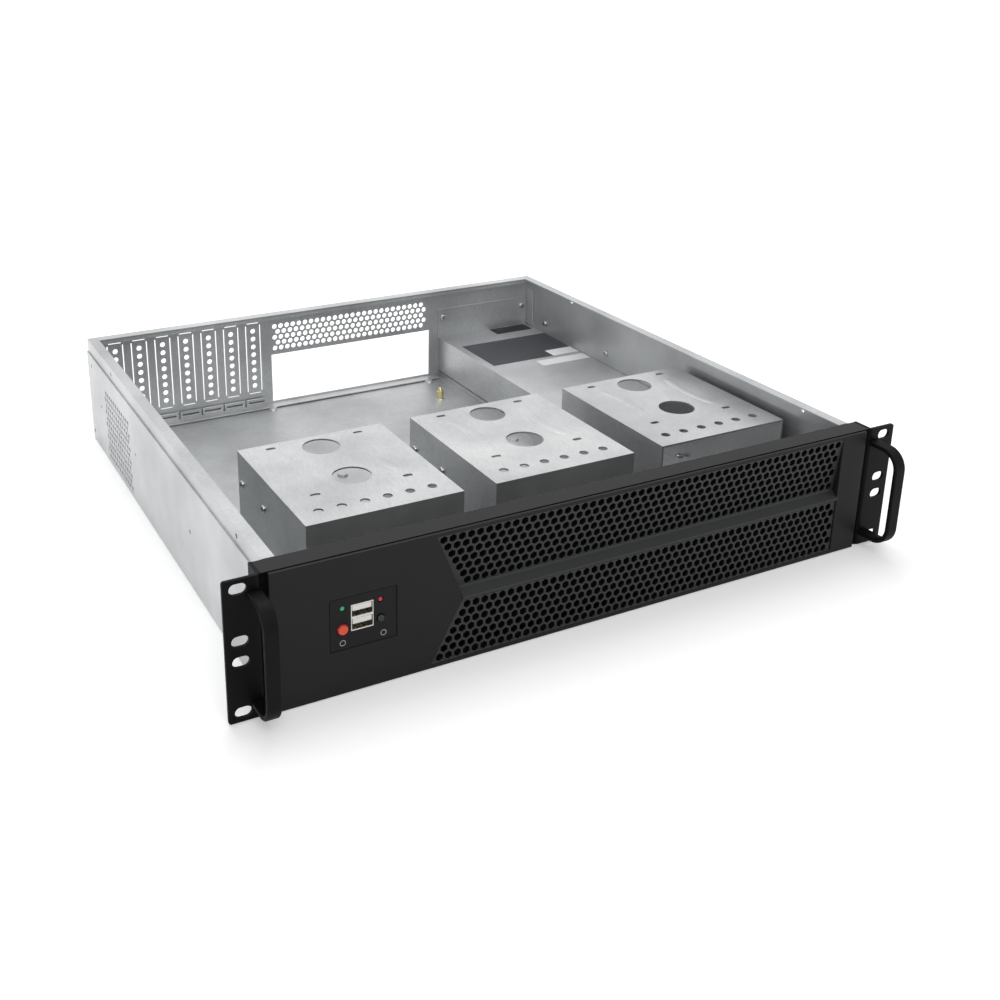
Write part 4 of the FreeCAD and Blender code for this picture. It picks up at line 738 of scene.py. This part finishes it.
def rack_ear(side, name):
    """Angle bracket folded from thick sheet, with the rack's slots and rounded outer corners."""
    ear = block(name, sorted((side * EAR_IN, side * EAR_OUT)), (0, EAR_LEG), (0, EAR_HIGH))
    enter(ear)
    drop("FACE", lambda at, way: way.y > ALONG or abs(way.z) > ALONG or way.x * side > ALONG)
    pick("EDGE", lambda at, way: abs(way.z) > ALONG and at.y < 0.1 and abs(at.x) < EAR_IN + 0.1)
    bpy.ops.mesh.bevel(offset=2.5 * MM, segments=5, affect="EDGES")
    leave()
    face_out(ear, lambda at: at.y < 0.01, (0, -1, 0))
    thicken(ear, EAR_SHEET)
    slots = [obround("slot", "Y", 3.4, (side * SLOT_X, -2, EAR_HIGH / 2 + rise), 6, 1.6, "X")
             for rise in SLOT_RISES]
    carve(ear, *slots)
    enter(ear)
    pick("EDGE", lambda at, way: (abs(way.y) > ALONG and abs(at.x) > EAR_OUT - 0.1
                                  and not 1 < at.z < EAR_HIGH - 1))
    bpy.ops.mesh.bevel(offset=1.6 * MM, segments=4, affect="EDGES")
    leave()
    soften(ear, 0.3)
    return smooth(ear)


def handle(side, name):
    """Loop bent from flat bar, with eased edges."""
    x = side * HANDLE_X
    loop = block(name, (x - BAR_HALF, x + BAR_HALF), (-HANDLE_REACH, 0), (HANDLE_LOW, HANDLE_TOP))
    enter(loop)
    drop("FACE", lambda at, way: way.y > ALONG or abs(way.x) > ALONG)
    pick("EDGE", lambda at, way: abs(way.x) > ALONG and at.y < 1 - HANDLE_REACH)
    bpy.ops.mesh.bevel(offset=BAR_BEND * MM, segments=10, affect="EDGES")
    leave()
    face_out(loop, lambda at: at.y < 0.1 - HANDLE_REACH, (0, -1, 0))
    thicken(loop, BAR)
    soften(loop, 0.9, 3)
    return smooth(loop, 30)


# ---------------------------------------------------------------- drive cages

RIB_MIDDLE, RIB_BEND, RIB_APART = 144.1, 95, 26.7
# The top's rows along y: two large eyes, six small holes and two pairs of ovals; height of the front flap.
EYE_ROWS, HOLE_ROW, OVAL_ROWS, FLAP = (120.8, 172.5), 83.0, (104.4, 183.8), 44.0


def cage_rib(middle, side):
    """A pressed rib that bows towards the cage's middle line and fades out before the ovals."""
    clear()
    bpy.ops.mesh.primitive_torus_add(major_segments=144, minor_segments=16, major_radius=RIB_BEND * MM,
                                     minor_radius=3.5 * MM)
    rib = bpy.context.object
    rib.name = "rib"
    rib.scale.z = 0.1
    place = (middle + side * (RIB_BEND + RIB_APART), RIB_MIDDLE, CAGE_TOP - 0.05)
    rib.location = [size * MM for size in place]
    settle()
    enter(rib)
    drop("VERT", lambda at, way: abs(at.y - RIB_MIDDLE) > 36 or (at.x - middle) * side > 60)
    pick("VERT", lambda at, way: abs(at.y - RIB_MIDDLE) > 27)
    shift(z=-0.2)
    pick("VERT", lambda at, way: abs(at.y - RIB_MIDDLE) > 31)
    shift(z=-0.4)
    bpy.ops.mesh.select_all(action="DESELECT")
    bpy.ops.mesh.select_non_manifold()
    bpy.ops.mesh.fill_holes(sides=0)
    leave()
    return rib


def drive_cage(number):
    """Inverted channel of bright sheet, with its punched top, pressed ribs and turned-in feet."""
    left = CAGE_FIRST + CAGE_PITCH * number
    right = left + CAGE_WIDE
    middle = (left + right) / 2
    cage = block("cage_sheet_%d" % (number + 1), (left, right), (CAGE_FRONT, CAGE_FRONT + CAGE_LONG),
                 (SHEET, CAGE_TOP))
    enter(cage)
    drop("FACE", lambda at, way: way.z < -ALONG or way.y > ALONG or (number == 2 and way.y < -ALONG))
    for side in (-1, 1):
        pick("EDGE", lambda at, way: abs(way.y) > ALONG and at.z < 5 and (at.x - middle) * side > 0)
        pull(x=-side * 10.0)
    if number < 2:
        slice_at("Z", CAGE_TOP - FLAP)
        drop("FACE", lambda at, way: way.y < -ALONG and at.z < CAGE_TOP - FLAP)
    leave()
    face_out(cage, lambda at: at.z > CAGE_TOP - 0.1, (0, 0, 1))
    thicken(cage, SHEET)
    high = CAGE_TOP - 3
    cuts = [rod("hole", "Z", 13.2, (middle, y, high), 6, 48) for y in EYE_ROWS]
    cuts += [rod("hole", "Z", 3.25, (middle + 15.8 * (step - 2.5), HOLE_ROW, high), 6, 20)
             for step in range(6)]
    cuts += [obround("oval", "Z", 1.8, (middle + 32.7 * side, y, high), 6, 1.7, "X", 16)
             for side in (-1, 1) for y in OVAL_ROWS]
    cuts += [rod("hole", "X", 1.7, (left - 2, y, z), 5, 16) for y, z in CAGE_SCREWS]
    carve(cage, *cuts)
    soften(cage, 0.4)
    return smooth(join(cage, *[cage_rib(middle, side) for side in (-1, 1)]))


# ---------------------------------------------------------------- control panel

# Buttons as (x, z) with their radii, and the radius of the power button's face, outside which its crown and
# side are painted a darker red as shade.
POWER_SPOT, RESET_SPOT, LAMP_Z = (-173.1, 41.6), (-149.7, 43.1), 54.8
POWER_RADIUS, RESET_RADIUS, POWER_FACE = 3.5, 2.2, 2.7
PANEL_FACE, BEHIND_PANEL, BOARD_FACE = -0.8, 1.4, 13.4
USB_X, SOCKETS = -161.1, (43.35, 51.65)


def crowned(name, radius, spot, start, reach, crown):
    """A rod along Y with a crowned front end."""
    piece = rod(name, "Y", radius, (spot[0], start, spot[1]), reach, 40)
    enter(piece)
    pick("EDGE", lambda at, way: at.y < start + 0.01)
    bpy.ops.mesh.bevel(offset=crown * MM, segments=6, affect="EDGES")
    leave()
    return piece


def push_button(name, spot, radius):
    """Cap with a crowned face, a collar behind the panel and a stem to its switch."""
    cap = crowned(name, radius, spot, PANEL_FACE - 1.3, 3.5, radius * 0.42)
    collar = rod("collar", "Y", radius + 1.2, (spot[0], BEHIND_PANEL, spot[1]), 1.2, 24)
    stem = rod("stem", "Y", 1.5, (spot[0], BEHIND_PANEL, spot[1]), 7.3, 16)
    return smooth(join(cap, collar, stem))


def lamp_body(name, x):
    """Round-nosed lamp, its rim behind the panel and its spacer down to the board."""
    nose = crowned(name, 1.5, (x, LAMP_Z), PANEL_FACE - 0.4, BOARD_FACE - PANEL_FACE + 0.4, 1.25)
    rim = rod("rim", "Y", 1.9, (x, BEHIND_PANEL, LAMP_Z), 1.2, 24)
    return smooth(join(nose, rim))


def usb_tongue_pair():
    """White insulator in the upper half of each socket."""
    pair = [block("usb_tongue_%d" % number, (USB_X - 5.9, USB_X + 5.9), (PANEL_FACE + 0.1, 12.4),
                  (middle - 0.1, middle + 3.2)) for number, middle in enumerate(SOCKETS, 1)]
    return smooth(soften(join(*pair), 0.3))


def usb_contacts():
    """Four sprung contacts under each insulator."""
    first = block("usb_contacts", (USB_X - 4.0, USB_X - 3.0), (PANEL_FACE + 1.2, 12.0),
                  (SOCKETS[0] - 0.45, SOCKETS[0] - 0.05))
    soften(first, 0.15)
    places = [(x, z) for z in (0, SOCKETS[1] - SOCKETS[0]) for x in (0, 2.5, 4.5, 7.0)]
    return smooth(join(first, *[copy_of(first, x, 0, z) for x, z in places[1:]]))


def panel_marks():
    """Two printed rings below the buttons, left without symbols."""
    rings = []
    for x in (-173.3, -148.0):
        ring = rod("panel_mark", "Y", 1.9, (x, PANEL_FACE - 0.05, 33.0), 0.06, 32)
        rings.append(carve(ring, rod("inside", "Y", 1.4, (x, PANEL_FACE - 1, 33.0), 2, 32)))
    return smooth(join(*rings))


# ---------------------------------------------------------------- power supply

PSU_X, PSU_Y, PSU_TOP, PSU_SEAM = (115.5, 213.5), (222.6, 427.6), 39.8, 6.3
PATCH_LEFT, PATCH_REAR = 185.0, 350.5


def supply_lid():
    """Lid folded over three sides, cut out above the fan and standing a hair off the tray."""
    lid = block("supply_lid", PSU_X, PSU_Y, (PSU_SEAM + 0.7, PSU_TOP))
    enter(lid)
    drop("FACE", lambda at, way: way.z < -ALONG or abs(way.y) > ALONG)
    leave()
    face_out(lid, lambda at: at.z > PSU_TOP - 0.1, (0, 0, 1))
    thicken(lid, 0.8)
    carve(lid, block("fan_room", (170.8, 209.2), (411.6, 426.8), (PSU_TOP - 2, PSU_TOP + 2)))
    soften(lid, 0.38, 3)
    return smooth(lid)


def rating_label():
    """Polyester label, sliced so that its corner takes a paper patch."""
    label = block("rating_label", (122.5, 212.7), (336.0, 394.6), (PSU_TOP, PSU_TOP + 0.15))
    enter(label)
    slice_at("X", PATCH_LEFT)
    slice_at("Y", PATCH_REAR)
    leave()
    return label


# ---------------------------------------------------------------- fixings

HEAD_TURNS = {("X", 1): (0, -math.pi / 2, 0), ("X", -1): (0, math.pi / 2, 0),
              ("Y", 1): (math.pi / 2, 0, 0), ("Y", -1): (-math.pi / 2, 0, 0), ("Z", -1): (0, 0, 0)}


def pan_screw(name, axis, way, under):
    """Pan-head screw with a cross recess, its seat at the origin and its shank along the axis."""
    head = rod(name, "Z", 2.9, (0, 0, 0), 1.8, 24)
    enter(head)
    pick("EDGE", lambda at, direction: at.z > 1.79)
    bpy.ops.mesh.bevel(offset=1.15 * MM, segments=4, affect="EDGES")
    leave()
    carve(head, block("recess", (-1.7, 1.7), (-0.4, 0.4), (0.8, 3)))
    carve(head, block("recess", (-0.4, 0.4), (-1.7, 1.7), (0.8, 3)))
    shank = rod("shank", "Z", 1.45, (0, 0, -under), under, 12)
    screw = smooth(join(head, shank))
    screw.rotation_euler = HEAD_TURNS[axis, way]
    take(screw)
    settle()
    return screw


def screw_set(name, runs):
    """All the screws of one kind, each run an axis, way, grip and list of seats."""
    made = []
    for axis, way, under, seats in runs:
        first = pan_screw(name, axis, way, under)
        made += [copy_of(first, *seat) for seat in seats]
        bpy.data.objects.remove(first)
    return join(*made)


def brass_standoff():
    """Hexagonal spacer with a chamfered top and a threaded stud."""
    spacer = rod("brass_standoff", "Z", 2.75 / math.cos(math.pi / 6), (*STANDOFF, SHEET), 8.0, 6)
    enter(spacer)
    pick("EDGE", lambda at, way: at.z > SHEET + 7.99)
    bpy.ops.mesh.bevel(offset=0.5 * MM, segments=1, affect="EDGES")
    leave()
    stud = rod("stud", "Z", 1.25, (*STANDOFF, SHEET + 8.0), 4.0, 20)
    threads = rod("thread", "Z", 1.5, (*STANDOFF, SHEET + 8.2), 0.35, 20, 1.25)
    row(threads, 6, (0, 0, 0.6))
    return smooth(join(spacer, stud, threads))


ZINC_SETS = {
    "cage_side_screws": [("X", 1, 3.6, [(CAGE_FIRST + CAGE_PITCH * number, y, z)
                                        for number in range(3) for y, z in CAGE_SCREWS])],
    "cage_foot_screws": [("Z", -1, 2.4, FEET)],
    "frame_screws": [("Y", -1, 2.4, [(x, 3.6, z) for x in (-208.4, 208.4) for z in (14.0, 64.0)])],
    "psu_plate_screws": [("Y", 1, 2.4, [(x, 427.6, 59.5) for x in (119.6, 207.0)])],
    "wall_screws": [("X", 1, 1.2, [(BAND, y, z) for y, z in RIGHT_SCREWS])],
}
BLACK_SETS = {
    "ear_screws": [("X", -side, 3.2, [(side * 221.4, 9.0, z) for z in (18.0, 70.0)]) for side in (-1, 1)],
    "psu_screws": [("Y", -1, 3.6, [(x, WALL_INSIDE, z) for x in (123.0, 164.7) for z in (5.6, 35.4)])],
}


# ---------------------------------------------------------------- pieces in place

dress(chassis_pan(), "case", PAN_STEEL, "galvanised_sheet", "chassis_pan")
dress(join(rear_wall(), wall_flanges(), bracket_rail()), "case", WALL_STEEL, "galvanised_sheet", "rear_panel")
dress(join(bezel_plate(), mesh_lip()), "case", BEZEL_COAT, "black_paint", "front_bezel")
# The mesh's lighter coat paints the highlights along its webs.
dress(bezel_mesh(), "case", MESH_HIGHLIGHT_COAT, "black_paint", "front_bezel")
# Painted highlight: the bead's lighter grey coat stands for the ridge's bright edge.
dress(ridge_bead(), "case", RIDGE_HIGHLIGHT_COAT, "black_paint")
# Painted shade: the foam block behind the mesh darkens its holes.
dress(mesh_shade_foam(), "case", SHADE_FOAM, "black_paint")
for side, name in ((-1, "left"), (1, "right")):
    dress(rack_ear(side, "ear_" + name), "case", EAR_COAT, "black_paint", "rack_ear_" + name)
    dress(handle(side, "grip_" + name), "case", HANDLE_COAT, "handle_paint", "handle_" + name)
for number in range(3):
    dress(drive_cage(number), "case", CAGE_STEEL, "cage_sheet", "drive_cage_%d" % (number + 1))
# Painted shade: the front frame's forward-facing faces take the near-black foam finish, so that what shows
# through the mesh looks black.
front = dress(refined("front_frame", 0.35), "case", (BEZEL_COAT, SHADE_FOAM), "black_paint", "front_frame")
recolour(front, 1, lambda at, way: way.y < -ALONG)
dress(refined("control_plate", 0.4, 3), "case", PANEL_ABS, "panel_plastic", "control_plate")
dress(panel_marks(), "case", MARK_INK, "panel_plastic")
dress(usb_tongue_pair(), "case", TONGUE_NYLON, "socket_tongue", "usb_tongues")
dress(usb_contacts(), "case", BRASS, "brass")
power = dress(push_button("power_cap", POWER_SPOT, POWER_RADIUS), "power", (POWER_RED, POWER_SIDE_SHADE),
              "red_button", "power_button")
# Painted shade: the cap's crown, side, collar and stem, outside the face's radius, take the darker red.
recolour(power, 1, lambda at, way: math.hypot(at.x - POWER_SPOT[0], at.z - POWER_SPOT[1]) > POWER_FACE)
dress(push_button("reset_cap", RESET_SPOT, RESET_RADIUS), "reset", RESET_BLACK, "black_button",
      "reset_button")
dress(lamp_body("power_lamp", POWER_SPOT[0]), "case", LAMP_GREEN, "green_lamp", "power_led")
dress(lamp_body("drive_lamp", RESET_SPOT[0]), "case", LAMP_RED, "red_lamp", "drive_led")
dress(supply_lid(), "case", PSU_STEEL, "supply_sheet", "psu_cover")
dress(refined("psu_mount_plate", 0.3), "case", WALL_STEEL, "galvanised_sheet", "psu_mount_plate")
label = dress(rating_label(), "case", (LABEL_FILM, STRIP_FILM), "label_film", "psu_label")
recolour(label, 1, lambda at, way: at.x > PATCH_LEFT and at.y < PATCH_REAR)
dress(brass_standoff(), "case", BRASS, "brass", "standoff")
for node, runs in ZINC_SETS.items():
    dress(screw_set(node + "_cut", runs), "case", SCREW_ZINC, "screw_zinc", node)
for node, runs in BLACK_SETS.items():
    dress(screw_set(node + "_cut", runs), "case", SCREW_BLACK, "screw_black", node)


# ---------------------------------------------------------------- camera, floor and light

# Turn, tilt and roll in degrees, place in millimetres, and the lens with its shift.
VIEW_TURN, VIEW_TILT, VIEW_ROLL = -26.28, 19.31, -0.07
VIEW_PLACE = (-406.2, -545.2, 413.9)
LENS, LENS_SHIFT = 44.02, (0.10, -0.15)


def look():
    """The photograph's view: from the left and above, through a lens shifted a little."""
    data = bpy.data.cameras.new("view")
    eye = bpy.data.objects.new("view", data)
    bpy.context.scene.collection.objects.link(eye)
    turn, tilt, roll = math.radians(VIEW_TURN), math.radians(VIEW_TILT), math.radians(VIEW_ROLL)
    back = Vector((math.sin(turn) * math.cos(tilt), -math.cos(turn) * math.cos(tilt), math.sin(tilt)))
    right = Vector((math.cos(turn), math.sin(turn), 0))
    up = back.cross(right)
    right, up = right * math.cos(roll) + up * math.sin(roll), up * math.cos(roll) - right * math.sin(roll)
    place = Matrix((right, up, back)).transposed().to_4x4()
    place.translation = Vector(VIEW_PLACE) * MM
    eye.matrix_world = place
    data.sensor_width = 36
    data.lens = LENS
    data.shift_x, data.shift_y = LENS_SHIFT
    data.clip_start, data.clip_end = 0.02, 100
    bpy.context.scene.camera = eye


CASE_MIDDLE = Vector((0, 0.2, 0.05))


def lamp(name, size, power, place):
    """A square softbox, its size and place in metres, that faces the middle of the case."""
    data = bpy.data.lights.new(name, "AREA")
    data.size, data.energy = size, power
    box = bpy.data.objects.new(name, data)
    bpy.context.scene.collection.objects.link(box)
    box.location = place
    box.rotation_euler = (Vector(place) - CASE_MIDDLE).to_track_quat("Z", "Y").to_euler()


def seen_directly(tree):
    """1 where the camera, a reflection or clear plastic looks at the surface, else 0."""
    path = add(tree, "LightPath")
    either = add(tree, "Math", {0: path.outputs["Is Camera Ray"], 1: path.outputs["Is Glossy Ray"]},
                 operation="MAXIMUM").outputs["Value"]
    return add(tree, "Math", {0: either, 1: path.outputs["Is Transmission Ray"]},
               operation="MAXIMUM").outputs["Value"]


def paper_floor():
    """White paper that shades the case's foot, and turns as white as the background further out."""
    clear()
    bpy.ops.mesh.primitive_plane_add(size=60)
    floor = bpy.context.object
    floor.name = "studio_floor"
    floor.location.z = CAD_BOX[0][2] - 0.0005
    settle()
    material, tree, shader, where = new_material("white_paper")
    fibre = add(tree, "TexNoise", {"Vector": where, "Scale": 300.0, "Detail": 2.0})
    feed(tree, shader, {"Base Color": mixed(tree, fibre.outputs["Fac"], "f4f4f4", "fafafa"),
                        "Roughness": 0.9, "Specular IOR Level": 0.1})
    away = add(tree, "VectorMath", {0: where}, operation="LENGTH").outputs["Value"]
    glow = add(tree, "MapRange", {"Value": away, "From Min": 0.3, "From Max": 1.3, "To Min": 0.3,
                                  "To Max": 1.0}, interpolation_type="SMOOTHSTEP").outputs["Result"]
    strength = add(tree, "Math", {0: glow, 1: seen_directly(tree)}, operation="MULTIPLY").outputs["Value"]
    shine = add(tree, "Emission", {"Color": colour("ffffff"), "Strength": strength})
    both = add(tree, "AddShader", {0: shader.outputs[0], 1: shine.outputs[0]})
    tree.links.new(both.outputs[0], tree.nodes["Material Output"].inputs["Surface"])
    floor.data.materials.append(material)


def surroundings():
    """A room that is white to look at, and lights the case mostly from above and behind."""
    world = bpy.data.worlds.new("studio")
    bpy.context.scene.world = world
    world.use_nodes = True
    tree = world.node_tree
    tree.nodes.clear()
    way = add(tree, "TexCoord").outputs["Generated"]
    lean = add(tree, "VectorMath", {0: way, 1: (0.25, 0.80, 0.55)}, operation="DOT_PRODUCT").outputs["Value"]
    soft = add(tree, "MapRange", {"Value": lean, "From Min": -0.3, "From Max": 0.7, "To Min": 0.18,
                                  "To Max": 0.75})
    light = add(tree, "Background", {"Color": colour("ffffff"), "Strength": soft.outputs["Result"]})
    seen = add(tree, "Background", {"Color": colour("ffffff"), "Strength": 1.0})
    mix = add(tree, "MixShader", {0: seen_directly(tree), 1: light.outputs[0], 2: seen.outputs[0]})
    tree.links.new(mix.outputs[0], add(tree, "OutputWorld").inputs["Surface"])


look()
paper_floor()
surroundings()
lamp("top", 1.6, 20, (0.3, 1.0, 2.3))
lamp("left", 0.5, 8, (-2.3, -0.7, 0.36))
lamp("front", 1.2, 15, (-0.5, -1.6, 2.0))
bpy.context.scene.view_settings.view_transform = "Standard"

# ---------------------------------------------------------------- leave nothing selected

clear()
